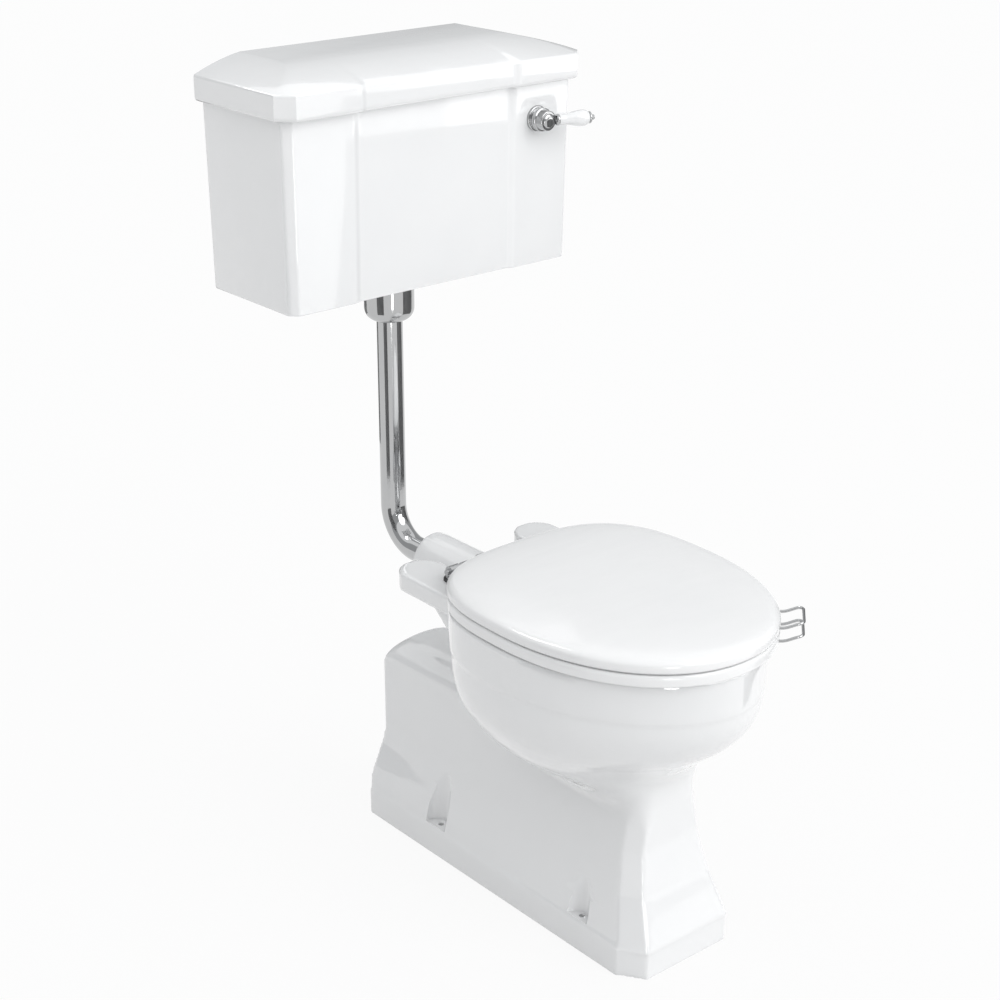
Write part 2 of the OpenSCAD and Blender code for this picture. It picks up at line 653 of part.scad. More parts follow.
module valve_body() {
  color(brass) difference() {
    union() {
      at_valve(cistern_z - shank_out) cylinder(r = shank_r, h = shank_free, $fn = 64);
      at_valve(cistern_z - shank_out + 2) cylinder(r = shank_r - 1, h = shank_free, $fn = 64);
      at_valve(cistern_z - shank_out + shank_free + 1.4) cylinder(r = shank_r, h = shank_out - shank_free + cistern_floor + 2, $fn = 64);
      at_valve(floor_z + 2) cylinder(r = 17, h = 4, $fn = 64);
      at_valve(floor_z + 5) cylinder(r = 8.5, h = head_z - 23 - floor_z, $fn = 64);
      at_valve(head_z - 20) cylinder(r = 11, h = 20, $fn = 64);
      // two cheeks that carry the arm's pin
      for (s = [-1, 1]) translate([valve_x, pipe_y + s * 7 - 1.5, head_z - 12]) cube([pivot_dx + 6, 3, pivot_up + 18]);
      translate([pivot_x, pipe_y - 8.5, pivot_z]) rod_y(pin_r, 17);
      // outlet spout that runs down beside the riser
      translate([valve_x - 15, pipe_y, head_z - 50]) cylinder(r = 5, h = 44, $fn = 48);
      translate([valve_x - 15, pipe_y, head_z - 11]) rod_x(4.4, 12);
    }
    at_valve(cistern_z - shank_out - 1) cylinder(r = 6, h = head_z - 19 - cistern_z + shank_out, $fn = 48);
    at_valve(head_z - 22) cylinder(r = plunger_r + fit, h = 23, $fn = 48);
    translate([valve_x - 15, pipe_y, head_z - 51]) cylinder(r = 3.5, h = 40, $fn = 48);
  }
}

module valve_washer() {
  color(rubber) {
    at_valve(floor_z) ring(shank_r + fit, 17, 2);
    at_valve(cistern_z - 2) ring(shank_r + fit, 16, 2);
  }
}

module valve_backnut() {
  color(brass) at_valve(cistern_z - 10) difference() {
    hex(30, 8);
    translate([0, 0, -1]) cylinder(r = shank_r + fit, h = 10, $fn = 64);
  }
}

module valve_plunger() {
  color(white_plastic) at_valve(head_z - 14) cylinder(r = plunger_r, h = 14 + pivot_up - float_t / 2 - 0.3, $fn = 48);
}

// Arm on its pin, with a short tail over the plunger; the float hangs from its far end.
module float_arm() {
  color(white_plastic) difference() {
    union() {
      translate([valve_x - 5, pipe_y - 2.5, pivot_z - float_t / 2]) cube([arm_reach + pivot_dx - 6, 5, float_t]);
      translate([pivot_x, pipe_y - 5.2, pivot_z]) rod_y(6, 10.4);
      translate([pivot_x + arm_reach - 16, pipe_y - 2.5, pivot_z - 22]) cube([5, 5, 24]);
    }
    translate([pivot_x, pipe_y - 9, pivot_z]) rod_y(pin_r + fit, 18);
  }
}

module float() {
  r = float_r;
  color(white_plastic) difference() {
    translate([pivot_x + arm_reach - 13.5, pipe_y, pivot_z - 14 - float_h]) rotate_extrude($fn = 64)
      polygon([[0, 0], [r - 6, 0], [r - 2, 2], [r, 6], [r, float_h - 8], [r - 3, float_h - 3], [r - 10, float_h], [0, float_h]]);
    translate([pivot_x + arm_reach - 16.05, pipe_y - 2.55, pivot_z - 22.05]) cube([5.1, 5.1, 24]);
  }
}

// Seat hinge: posts on the pan's ears hold two short rods, and lugs under the ring and the lid turn on it.
rod_r2 = rod_d / 2;
rod_z = rim_z + 14;
post_x = post_pitch / 2;
seat_lug_x = 72;
lid_lug_x = 48;
barrel_r = 7.5;
washer_t = 3;
seat_z = rim_z + buffer_h;
seat_top = seat_z + seat_t;
lid_z = seat_top + buffer_h;
tongue_t = 4;
tongue_end = -hinge_y - 75;

module on_rod(x, r, w) {
  translate([x - w / 2, -hinge_y, rod_z]) rod_x(r, w);
}

module hinge_rods() {
  color(chrome) pair() {
    on_rod((lid_lug_x + post_x) / 2, rod_r2, post_x - lid_lug_x + 26);
    on_rod(lid_lug_x - 14, rod_r2 + 1.5, 3);
  }
}

module hinge_posts() {
  color(chrome) pair() difference() {
    union() {
      translate([post_x, -hinge_y, rim_z - 44]) cylinder(r = 5, h = 50, $fn = 48);
      translate([post_x, -hinge_y, rim_z + washer_t]) cylinder(r = 11, h = 3, $fn = 64);
      translate([post_x, -hinge_y, rim_z + washer_t + 2]) cylinder(r = 6.5, h = rod_z - rim_z - washer_t - 2, $fn = 64);
      on_rod(post_x, 8, 16);
    }
    on_rod(post_x, rod_r2 + fit, 30);
  }
}

module post_washers() {
  color(rubber) pair() {
    translate([post_x, -hinge_y, rim_z]) ring(5 + fit, 14, washer_t);
    translate([post_x, -hinge_y, rim_z - ear_t - washer_t]) ring(5 + fit, 13, washer_t);
  }
}

nut_across = 20;
nut_t = 9;
module post_nuts() {
  color(white_plastic) pair() translate([post_x, -hinge_y, rim_z - ear_t - washer_t - nut_t]) difference() {
    hex(nut_across, nut_t);
    translate([0, 0, -1]) cylinder(r = 5 + fit, h = nut_t + 2, $fn = 48);
  }
}

lug_w = 18;
// One lug: a barrel on the rod and a tongue let into the underside at height z.
module lug(x, z) {
  difference() {
    union() {
      on_rod(x, barrel_r, lug_w);
      translate([x - lug_w / 2, tongue_end, z]) cube([lug_w, -hinge_y - 8 - tongue_end, tongue_t]);
      translate([x - lug_w / 2, -hinge_y - 12, min(z, rod_z - 4)]) cube([lug_w, 12, max(z + tongue_t, rod_z + 4) - min(z, rod_z - 4)]);
    }
    on_rod(x, rod_r2 + fit, 30);
  }
}
module lug_recess(x, z) {
  translate([x - lug_w / 2 - 0.1, tongue_end - 0.1, z - 1]) cube([lug_w + 0.2, outline_len / 2, tongue_t + 1.02]);
}

module seat_lugs() {
  color(chrome) pair() lug(seat_lug_x, seat_z);
}

module lid_lugs() {
  color(chrome) pair() lug(lid_lug_x, lid_z);
}

// Wire lifting handles near the front right; their arms go into holes in the edge.
handle_a = -47;
handle_back = 43;
handle_px = outline_hw * pow(1 - pow(1 - handle_back / front_semi, 2.1), 1 / 2.1);
handle_py = bowl_cy - front_semi + handle_back;
handle_in = 12;
handle_reach = 29;
handle_rise = 8;
handle_bend = 8;
module at_wire(z) {
  translate([handle_px, handle_py, z]) rotate([0, 0, handle_a]) rotate([0, -atan(handle_rise / handle_reach), 0]) children();
}

module wire(z, r) {
  s = handle_w / 2;
  at_wire(z) {
    for (k = [-1, 1]) {
      translate([-handle_in, k * s, 0]) rod_x(r, handle_in + handle_reach - handle_bend);
      translate([handle_reach - handle_bend, k * (s - handle_bend), 0]) mirror([0, k < 0 ? 1 : 0, 0])
        rotate_extrude(angle = 90, $fn = 64) translate([handle_bend, 0]) circle(r = r, $fn = 32);
    }
    translate([handle_reach, -s + handle_bend, 0]) rod_y(r, handle_w - handle_bend * 2);
  }
}

module seat_handle() {
  color(chrome) wire(seat_z + seat_t / 2 - 1, wire_d / 2);
}

module lid_handle() {
  color(chrome) wire(lid_z + lid_t / 2 - 2, wire_d / 2);
}

// Seat ring: a flat board with rounded edges round an egg-shaped opening.
ring_land = 62;
module seat_ring() {
  t = seat_t;
  color(china) difference() {
    loft([for (s = [[0, 5], [1, 2], [3, 0.6], [t / 2, 0], [t - 4, 0.8], [t - 1.5, 3], [t - 0.3, 7], [t, 11]])
      [seat_z + s[0], outline(s[1])]]);
    loft([for (s = [[-1, 1], [2, 0], [t - 7, 1], [t - 3, -2], [t - 1, -7], [t + 1, -14]])
      [seat_z + s[0], egg(outline_hw - ring_land + 4 - s[1], front_semi - ring_land - s[1], back_semi - ring_land - 16 - s[1], bowl_cy)]]);
    pair() lug_recess(seat_lug_x, seat_z);
    wire(seat_z + t / 2 - 1, wire_d / 2 + fit / 2);
  }
}

// Lid: a short upright edge that rounds over into a low dome, hollowed a little underneath.
module seat_lid() {
  t = lid_t;
  color(china) difference() {
    loft([for (s = [[0, 4], [1.2, 1.5], [3, 0.5], [t * 0.4, 0], [t * 0.6, 0.7], [t * 0.78, 2.5], [t * 0.92, 5.5], [t, 9],
      [t + 1.6, 18], [t + 3.4, 34], [t + 5, 56], [t + 6.2, 84], [t + 6.9, 118], [t + 7.1, 150]])
      [lid_z + s[0], outline(s[1])]]);
    loft([[lid_z - 1, outline(26)], [lid_z + 4, outline(28)], [lid_z + 8, outline(44)], [lid_z + 11, outline(80)]]);
    pair() lug_recess(lid_lug_x, lid_z);
    wire(lid_z + t / 2 - 2, wire_d / 2 + fit / 2);
  }
}

// Rubber buffers, two near the front and two near the back, under the ring and under the lid.
buffer_front = 170;
buffer_back = 90;
function buffer_spots() = [[105, bowl_cy - buffer_front], [145, bowl_cy + buffer_back]];
module buffers(z, h) {
  color(rubber) pair() for (p = buffer_spots()) translate([p[0], p[1], z]) cylinder(r = 6, h = h, $fn = 48);
}

module seat_buffers() {
  buffers(rim_z, buffer_h);
}

module lid_buffers() {
  buffers(seat_top, buffer_h);
}

pan();
flush_pipe();
flush_cone();
pipe_nut();
pipe_olive();
cistern();
cistern_lid();
tail_washer();
tail_backnut();
siphon();
siphon_plate();
siphon_lift();
lift_link();
lever_bush();
lever_washer();
lever_backnut();
lever_spindle();
lever_arm();
lever_handle();
lever_grip();
lever_finial();
valve_body();
valve_washer();
valve_backnut();
valve_plunger();
float_arm();
float();
hinge_rods();
hinge_posts();
post_washers();
post_nuts();
seat_ring();
seat_lugs();
seat_buffers();
seat_handle();
seat_lid();
lid_lugs();
lid_buffers();
lid_handle();
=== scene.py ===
import bmesh
import bpy
from math import cos, pi, radians, sin
from mathutils import Matrix, Vector


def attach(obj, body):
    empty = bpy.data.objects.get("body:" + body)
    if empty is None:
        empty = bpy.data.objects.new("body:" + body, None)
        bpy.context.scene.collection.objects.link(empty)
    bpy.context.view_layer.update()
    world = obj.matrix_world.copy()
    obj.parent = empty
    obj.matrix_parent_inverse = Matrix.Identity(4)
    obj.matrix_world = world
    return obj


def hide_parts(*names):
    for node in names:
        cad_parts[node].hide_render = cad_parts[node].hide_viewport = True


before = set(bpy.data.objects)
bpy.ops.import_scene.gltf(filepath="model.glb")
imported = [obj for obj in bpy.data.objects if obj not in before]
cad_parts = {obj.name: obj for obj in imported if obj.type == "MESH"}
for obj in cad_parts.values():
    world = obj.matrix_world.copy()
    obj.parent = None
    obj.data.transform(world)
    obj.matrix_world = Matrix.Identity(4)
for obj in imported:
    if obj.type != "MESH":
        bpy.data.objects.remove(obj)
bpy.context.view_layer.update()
print("frame loaded:", len(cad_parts), "nodes")

# outlines that the bowl, the rim and the seat share; midY is where their middle lies, from the outlet
outlineSize = {"midY": -355, "half": 189, "seatFront": 254, "seatBack": 194, "seatPower": 2.1,
               "rimFront": 247, "rimBack": 190, "rimPower": 1.85, "backPower": 3}


# sizes are written in millimetres, as in the part's source, and turned into metres here
def mm(x, y, z):
    return Vector((x, y, z)) / 1000


def ease(t):
    return 0.5 - 0.5 * cos(pi * min(1, max(0, t)))


# egg-shaped outline: the front is rounder the larger its power is, and the back is squarer
def egg(halfWidth, front, back, midY, power=2.1, count=144):
    points = []
    for i in range(count):
        a = 2 * pi * i / count
        reach, curve = (front, power) if sin(a) < 0 else (back, outlineSize["backPower"])
        r = (abs(cos(a) / halfWidth) ** curve + abs(sin(a) / reach) ** curve) ** (-1 / curve)
        points.append((r * cos(a), midY + r * sin(a)))
    return points


# the seat's outline and the slightly more pointed outline of the pan's rim, drawn in by an inset
def seatOutline(inset):
    o = outlineSize
    return egg(o["half"] - inset, o["seatFront"] - inset, o["seatBack"] - inset, o["midY"], o["seatPower"])


def rimOutline(inset):
    o = outlineSize
    return egg(o["half"] - inset, o["rimFront"] - inset, o["rimBack"] - inset, o["midY"], o["rimPower"])


def level(outline, z):
    return [(x, y, z) for x, y in outline]


# a ring of edges set on the first outline and drawn on through the others, then capped or joined to its start
def loft(bm, rings, closed=False):
    count = len(rings[0])
    verts = bmesh.ops.create_circle(bm, segments=count, radius=1)["verts"]
    for v, point in zip(verts, rings[0]):
        v.co = mm(*point)
    edges = firstEdges = [bm.edges.get((verts[i - 1], verts[i])) for i in range(count)]
    for ring in rings[1:]:
        grown = set(bmesh.ops.extrude_edge_only(bm, edges=edges)["geom"])
        verts = [next(e.other_vert(v) for e in v.link_edges if e.other_vert(v) in grown) for v in verts]
        for v, point in zip(verts, ring):
            v.co = mm(*point)
        edges = [bm.edges.get((verts[i - 1], verts[i])) for i in range(count)]
    if closed:
        bmesh.ops.bridge_loops(bm, edges=edges + firstEdges)
    else:
        for ends in (firstEdges, edges):
            bmesh.ops.contextual_create(bm, geom=ends)


# a profile of (radius, height) turned about an axis through a point
def turned(bm, profile, at, axis=(0, 0, 1), steps=96, closed=True):
    direction = Vector(axis)
    out = Vector((1, 0, 0)) if abs(direction.x) < 0.5 else Vector((0, 0, 1))
    centre = mm(*at)
    verts = [bm.verts.new(centre + out * (r / 1000) + direction * (h / 1000)) for r, h in profile]
    pairs = zip(verts, verts[1:] + verts[:1]) if closed else zip(verts, verts[1:])
    edges = [bm.edges.new(pair) for pair in pairs]
    bmesh.ops.spin(bm, geom=verts + edges, cent=centre, axis=direction, angle=2 * pi, steps=steps,
                   use_merge=True)


# smooth shading, kept crisp at edges sharper than the angle
def shade(mesh, sharpAngle=None):
    mesh.polygons.foreach_set("use_smooth", [True] * len(mesh.polygons))
    if sharpAngle:
        mesh.set_sharp_from_angle(angle=radians(sharpAngle))


def pieceFrom(bm, name, body, material, sharpAngle=None):
    bmesh.ops.remove_doubles(bm, verts=bm.verts, dist=2e-6)
    bmesh.ops.recalc_face_normals(bm, faces=bm.faces)
    mesh = bpy.data.meshes.new(name)
    bm.to_mesh(mesh)
    bm.free()
    shade(mesh, sharpAngle)
    piece = bpy.data.objects.new(name, mesh)
    bpy.context.scene.collection.objects.link(piece)
    mesh.materials.append(material)
    if body:
        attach(piece, body)
    return piece


# a modifier's result is kept in the mesh
def settle(piece, kind, **settings):
    modifier = piece.modifiers.new(kind.title(), kind)
    for key, value in settings.items():
        setattr(modifier, key, value)
    depsgraph = bpy.context.evaluated_depsgraph_get()
    result = bpy.data.meshes.new_from_object(piece.evaluated_get(depsgraph))
    old = piece.data
    piece.modifiers.clear()
    piece.data = result
    result.name = old.name
    bpy.data.meshes.remove(old)


# a number that varies over a surface, so that 1 - mask and mask * 0.2 add their own nodes
class Varying:
    def __init__(self, finish, socket):
        self.finish, self.socket = finish, socket

    def maths(self, operation, first, second):
        node = self.finish.node("ShaderNodeMath", {"operation": operation}, {0: first, 1: second})
        return Varying(self.finish, node.outputs[0])

    def __add__(self, other):
        return self.maths("ADD", self, other)

    def __sub__(self, other):
        return self.maths("SUBTRACT", self, other)

    def __rsub__(self, other):
        return self.maths("SUBTRACT", other, self)

    def __mul__(self, other):
        return self.maths("MULTIPLY", self, other)

    __radd__ = __add__
    __rmul__ = __mul__

    def atMost(self, other):
        return self.maths("MINIMUM", self, other)

    def atLeast(self, other):
        return self.maths("MAXIMUM", self, other)


class Finish:
    def __init__(self, name, **fixed):
        self.material = bpy.data.materials.new(name)
        self.material.use_nodes = True
        self.tree = self.material.node_tree
        self.surface = self.tree.nodes["Principled BSDF"]
        for key, value in fixed.items():
            self.surface.inputs[key.replace("_", " ")].default_value = value
        self.place = self.node("ShaderNodeTexCoord").outputs["Object"]
        self.material.diffuse_color = self.surface.inputs["Base Color"].default_value

    # type of node, its settings, then the values or links of its sockets
    def node(self, kind, settings=None, sockets=None):
        made = self.tree.nodes.new(kind)
        for key, value in (settings or {}).items():
            setattr(made, key, value)
        for key, value in (sockets or {}).items():
            self.feed(made.inputs[key], value)
        return made

    def feed(self, socket, value):
        if isinstance(value, Varying):
            value = value.socket
        if isinstance(value, bpy.types.NodeSocket):
            self.tree.links.new(value, socket)
        else:
            socket.default_value = value

    def noise(self, scale, detail=3, roughness=0.5, stretch=None):
        place = self.place
        if stretch:
            place = self.node("ShaderNodeMapping", None, {"Vector": place, "Scale": stretch}).outputs[0]
        made = self.node("ShaderNodeTexNoise", None,
                         {"Vector": place, "Scale": scale, "Detail": detail, "Roughness": roughness})
        return Varying(self, made.outputs[0])

    def blend(self, factor, first, second):
        made = self.node("ShaderNodeMix", {"data_type": "RGBA"}, {0: factor, 6: first, 7: second})
        return made.outputs[2]

    def bump(self, height, depth):
        return self.node("ShaderNodeBump", None, {"Height": height, "Strength": 1.0, "Distance": depth}).outputs[0]

    def set(self, **varying):
        for key, value in varying.items():
            self.feed(self.surface.inputs[key.replace("_", " ")], value)
        return self.material


def grey(value, tint=0.0):
    return (value - tint, value, value + tint, 1)


# fired glaze: nearly smooth, with the slow unevenness and the few faint specks of real china
def makeChina(name, tone):
    finish = Finish(name, Base_Color=grey(tone, 0.004), IOR=1.54, Coat_Weight=1.0, Coat_Roughness=0.02, Coat_IOR=1.6)
    slow = finish.noise(9, 2)
    fine = finish.noise(120, 2)
    speck = finish.noise(420, 1)
    cloud = finish.blend(slow, grey(tone - 0.012, 0.006), grey(tone + 0.012, 0.002))
    pit = ((speck - 0.78) * 9).atLeast(0).atMost(1)
    colour = finish.blend(pit * 0.35, cloud, grey(tone - 0.14))
    normal = finish.bump(slow + fine * 0.02, 0.0012)
    return finish.set(Base_Color=colour, Roughness=0.07 + slow * 0.05 + pit * 0.1, Normal=normal)


def makeChrome(name, tone):
    finish = Finish(name, Base_Color=grey(tone, 0.006), Metallic=1.0)
    film = finish.noise(30, 3)
    hair = finish.noise(900, 2, 0.6)
    colour = finish.blend(film, grey(tone - 0.03, 0.006), grey(tone + 0.02, 0.002))
    normal = finish.bump(film + hair * 0.05, 0.0001)
    return finish.set(Base_Color=colour, Roughness=0.035 + film * 0.04 + hair * 0.02, Normal=normal)


# moulded thermoset: a polished face with the faintest flow marks
def makeSeatPlastic(name, tone):
    finish = Finish(name, Base_Color=grey(tone, 0.002), IOR=1.5, Coat_Weight=0.3, Coat_Roughness=0.05)
    flowMarks = finish.noise(14, 3, 0.5, (1, 2.2, 1))
    grain = finish.noise(650, 2)
    colour = finish.blend(flowMarks, grey(tone - 0.010, 0.003), grey(tone + 0.008, 0.001))
    normal = finish.bump(flowMarks + grain * 0.03, 0.0005)
    return finish.set(Base_Color=colour, Roughness=0.12 + flowMarks * 0.05 + grain * 0.03, Normal=normal)


def makePlastic(name, tone):
    finish = Finish(name, Base_Color=(tone, tone, tone * 0.97, 1), IOR=1.49)
    flowMarks = finish.noise(40, 3)
    grain = finish.noise(1400, 2, 0.7)
    colour = finish.blend(flowMarks, (tone - 0.04, tone - 0.04, tone * 0.93, 1), (tone, tone, tone * 0.97, 1))
    return finish.set(Base_Color=colour, Roughness=0.32 + flowMarks * 0.12 + grain * 0.08,
                      Normal=finish.bump(grain, 0.00012))


def makeBrass(name, bright, dull):
    finish = Finish(name, Base_Color=(0.58, 0.41, 0.17, 1), Metallic=1.0)
    tarnish = finish.noise(55, 5, 0.6)
    tool = finish.noise(700, 2, 0.5, (1, 1, 6))
    colour = finish.blend(tarnish, bright, dull)
    return finish.set(Base_Color=colour, Roughness=0.2 + tarnish * 0.25 + tool * 0.08,
                      Normal=finish.bump(tool, 0.0001))


def makeRubber(name, tone):
    finish = Finish(name, Base_Color=grey(tone), IOR=1.5)
    dust = finish.noise(70, 4, 0.6)
    grain = finish.noise(1600, 3, 0.7)
    colour = finish.blend(dust, grey(tone), grey(tone * 1.9))
    return finish.set(Base_Color=colour, Roughness=0.5 + dust * 0.25 + grain * 0.1,
                      Normal=finish.bump(grain, 0.0002))


china = makeChina("Glazed china", 0.80)
cisternChina = makeChina("Glazed china of the cistern", 0.84)
seatPlastic = makeSeatPlastic("Polished white seat", 0.84)
chrome = makeChrome("Polished chrome", 0.5)
whitePlastic = makePlastic("Moulded white plastic", 0.76)
brass = makeBrass("Turned brass", (0.62, 0.45, 0.19, 1), (0.36, 0.24, 0.10, 1))
gripChina = makeChina("White grip", 0.84)
rubber = makeRubber("Black rubber", 0.035)
print("finishes made")


# a straight bar or cone between two points
def rod(bm, start, end, r1, r2=None):
    low, high = mm(*start), mm(*end)
    turn = (high - low).to_track_quat("Z", "Y").to_matrix().to_4x4()
    bmesh.ops.create_cone(bm, cap_ends=True, segments=96, radius1=r1 / 1000,
                          radius2=(r1 if r2 is None else r2) / 1000, depth=(high - low).length,
                          matrix=Matrix.Translation((low + high) / 2) @ turn)


def block(bm, low, high):
    size, middle = mm(*high) - mm(*low), (mm(*high) + mm(*low)) / 2
    bmesh.ops.create_cube(bm, size=1, matrix=Matrix.Translation(middle) @ Matrix.Diagonal((*size, 1)))


# outline of (y, z) drawn across from x0 to x1
def across(bm, outline, x0, x1):
    loft(bm, [[(x, y, z) for y, z in outline] for x in (x0, x1)])


# a round section carried along a path of points
def tube(bm, path, radius, segments):
    points = [Vector(p) for p in path]
    rings, side = [], None
    for i, point in enumerate(points):
        along = (points[min(i + 1, len(points) - 1)] - points[max(i - 1, 0)]).normalized()
        if side is None:
            side = along.orthogonal().normalized()
        side = (side - along * side.dot(along)).normalized()
        other = along.cross(side)
        rings.append([tuple(point + radius * (side * cos(a) + other * sin(a)))
                      for a in (2 * pi * k / segments for k in range(segments))])
    loft(bm, rings)


# union with, or cut by, a shape that a function draws
def combine(piece, operation, draw, *values):
    bm = bmesh.new()
    draw(bm, *values)
    bmesh.ops.remove_doubles(bm, verts=bm.verts, dist=1e-6)
    bmesh.ops.recalc_face_normals(bm, faces=bm.faces)
    mesh = bpy.data.meshes.new("tool")
    mesh.materials.append(piece.data.materials[0])
    bm.to_mesh(mesh)
    bm.free()
    helper = bpy.data.objects.new("tool", mesh)
    bpy.context.scene.collection.objects.link(helper)
    settle(piece, "BOOLEAN", operation=operation, object=helper, solver="MANIFOLD")
    bpy.data.objects.remove(helper)
    bpy.data.meshes.remove(mesh)


def merge(piece, draw, *values):
    combine(piece, "UNION", draw, *values)


def cut(piece, draw, *values):
    combine(piece, "DIFFERENCE", draw, *values)


panSize = {
    "rimTop": 465, "crease": 405, "wall": 14, "land": 34, "curtainFoot": 419,
    "waist": 225, "neck": 262, "footTop": 253.4, "shoulderFoot": 200, "shoulderTop": 306,
    "plinthHalf": 100, "plinthBack": 58, "plinthFront": -528, "plinthTop": 47, "frontChamfer": 25, "sideChamfer": 36,
    "footSide": 58, "footBack": 68, "footFace": 42, "flareTop": 170, "flareFoot": 107,
    "humpTop": 286, "humpHalf": 67.7, "spigotZ": 415, "spigotR": 40, "spigotEnd": 22, "spigotLong": 230,
    "boreR": 28, "boreLong": 172, "earX": 106, "earY": -92, "earR": 34, "earThick": 28, "earRootX": 72,
    "postX": 96, "postY": -148, "postHole": 6.5, "nutRoom": 15,
    "screwX": 87, "screwR": 4, "niches": [(95.5, -101, 22), (101, -411, 21)],  # place across and along, radius
    "trapR": 40, "trapBend": 58, "trapTurn": 122, "wellY": -315,
    # the bowl's reach to the sides, the front and the back: where it starts to swell, least, gain and power
    "bowl": [("waist", 44, 143, 3.2), ("neck", 104, 141, 2.3), ("waist", 115, 73, 1.8)],
    # the fillet's reach to the sides and the front: least, gain, height where it starts, rise, height where it ends
    "filletSide": (57, 50, 200, 62, 262), "filletFront": (132, 47, 238, 72, 304), "filletBack": 112,
    # height, then half width, front, back and middle of the well
    "well": [(38.8, 14, 14, 18, -315), (44.8, 25, 25, 29, -315), (58.8, 35, 35, 38, -315), (78.8, 38.5, 39, 40, -315),
             (104, 39.7, 43, 42, -318), (130, 41, 50, 44, -322), (155, 42, 62, 51, -328), (180, 43, 78, 60, -335),
             (203, 44.6, 88, 69, -340), (225, 46, 96, 78, -345), (244, 46.5, 97, 88, -350)],
    # half width, then outline along and up, of the two hollows that are open at the floor
    "frontHollow": (44, [(-508, -3), (-508, 47), (-486, 107), (-474, 165), (-440, 165), (-385, 110), (-372, 60),
                         (-372, -3)]),
    "backHollow": (54, [(-58, -3), (-58, 132), (-95, 146), (-250, 56), (-250, -3)]),
    # low, high, back limit and rounds of smoothing where the bowl grows out of the foot
    "flow": [(206, 335, -190, 16), (216, 322, -200, 26), (228, 312, -210, 60)], "flowHalf": 48, "flowFront": -452,
    "voxel": 0.0032, "melt": 3, "faces": 95000,
}
p = panSize
midY = outlineSize["midY"]


def swell(z, start, power):
    t = max(0, (z - start) / (p["crease"] - start))
    return (1 - (1 - min(1, t)) ** power) ** 1.25


def bowlReach(z):
    return [least + gain * swell(z, p[start], power) for start, least, gain, power in p["bowl"]]


def bowlOutside(z):
    return egg(*bowlReach(z), midY, outlineSize["rimPower"])


# the wall is thinner where it comes down into the well
def bowlInside(z):
    thick = p["wall"] * (1 if z > 330 else 0.75)
    return egg(*(reach - thick for reach in bowlReach(z - p["wall"] * 0.85)), midY, outlineSize["rimPower"])


def steps(low, high, step):
    count = max(1, round((high - low) / step))
    return [low + (high - low) * i / count for i in range(count + 1)]


def filletReach(z, bowl, least, gain, low, rise, end):
    return least + gain * (max(0, z - low) / rise) ** 2.1 if z < end else bowl


# the bowl, with the fillet that carries the foot's sides and face out into its underside
def bowlBlended(z):
    bowl = bowlReach(max(z, p["waist"] + 0.5))
    half, front = filletReach(z, bowl[0], *p["filletSide"]), filletReach(z, bowl[1], *p["filletFront"])
    power = 3.2 - 1.35 * min(1, max(0, (z - 215) / 80))  # squarish at the foot, as round as the rim at the top
    inner = egg(*bowl, midY, outlineSize["rimPower"], 256)
    outer = egg(half, front, p["filletBack"], midY, power, 256)
    outline = []
    for (x, y), other in zip(inner, outer):
        near, far = (x ** 2 + (y - midY) ** 2) ** 0.5, (other[0] ** 2 + (other[1] - midY) ** 2) ** 0.5
        k = (1 + (far / near) ** 24) ** (1 / 24)  # the larger of the two, with a soft change between them
        outline.append((x * k, (y - midY) * k + midY))
    return outline


def drawBowl(bm):
    loft(bm, [level(bowlBlended(z), z) for z in steps(p["shoulderFoot"], p["shoulderTop"], 4)])


def drawBand(bm):
    top = p["rimTop"]
    rings = [level(bowlOutside(z), z) for z in steps(p["shoulderTop"] - 30, p["crease"], 4)]
    rings += [level(rimOutline(i), z) for z, i in ((406.5, 1), (409, 0), (top - 3, 0), (top - 1, 0.7), (top, 2.6))]
    loft(bm, rings)


# plan of the foot: upright at its top, then flaring down to the plinth
def footShape(z):
    t = max(0, 1 - (z - p["plinthTop"]) / (p["footTop"] - 2 - p["plinthTop"]))
    side = p["footSide"] + (p["plinthHalf"] - 61) * t ** 1.6
    back = p["footBack"] + (p["plinthHalf"] - 69) * (1 - ease((z - p["plinthTop"]) / 103))
    face = p["footFace"] + (p["plinthHalf"] - 67) * t ** 1.45
    if z > p["flareTop"]:
        lean = 0
    elif z > p["flareFoot"]:
        lean = 14 * (p["flareTop"] - z) / 63
    else:
        lean = 14 + 24 * (p["flareFoot"] - z) / 60
    y, chamfer, middle = p["plinthFront"] + 38 - lean, 22 + 13 * t ** 1.5, back * 0.35 + side * 0.65
    half = [(middle, -150), (side, y + chamfer), (face, y)]
    return ([(-back, p["plinthBack"])] + [(-x, v) for x, v in half] + [(x, v) for x, v in reversed(half)]
            + [(back, p["plinthBack"])])


def drawFoot(bm):
    heights = steps(p["plinthTop"] - 6, p["flareFoot"], 4) + steps(p["flareFoot"], p["footTop"], 6)[1:]
    loft(bm, [level(footShape(z), z) for z in heights])


# the foot's face carried up into the bowl, just inside the fillet
def drawNeck(bm):
    low = p["footTop"] - 8
    shape = [(x * 0.98, y + 1) for x, y in footShape(low) if abs(x) < p["footSide"] + 0.5]
    loft(bm, [level(shape + [(56, -250), (-56, -250)], z) for z in (low, 292)])


def drawPlinth(bm):
    rings = []
    for z, i in ((0, 0), (41, 0), (44.5, 0.8), (p["plinthTop"], 3)):
        half, front, back = p["plinthHalf"] - i, p["plinthFront"] + i, p["plinthBack"] - i
        face, corner = half - p["frontChamfer"], front + p["sideChamfer"]
        rings.append(level([(half, back), (-half, back), (-half, corner), (-face, front), (face, front),
                            (half, corner)], z))
    loft(bm, rings)


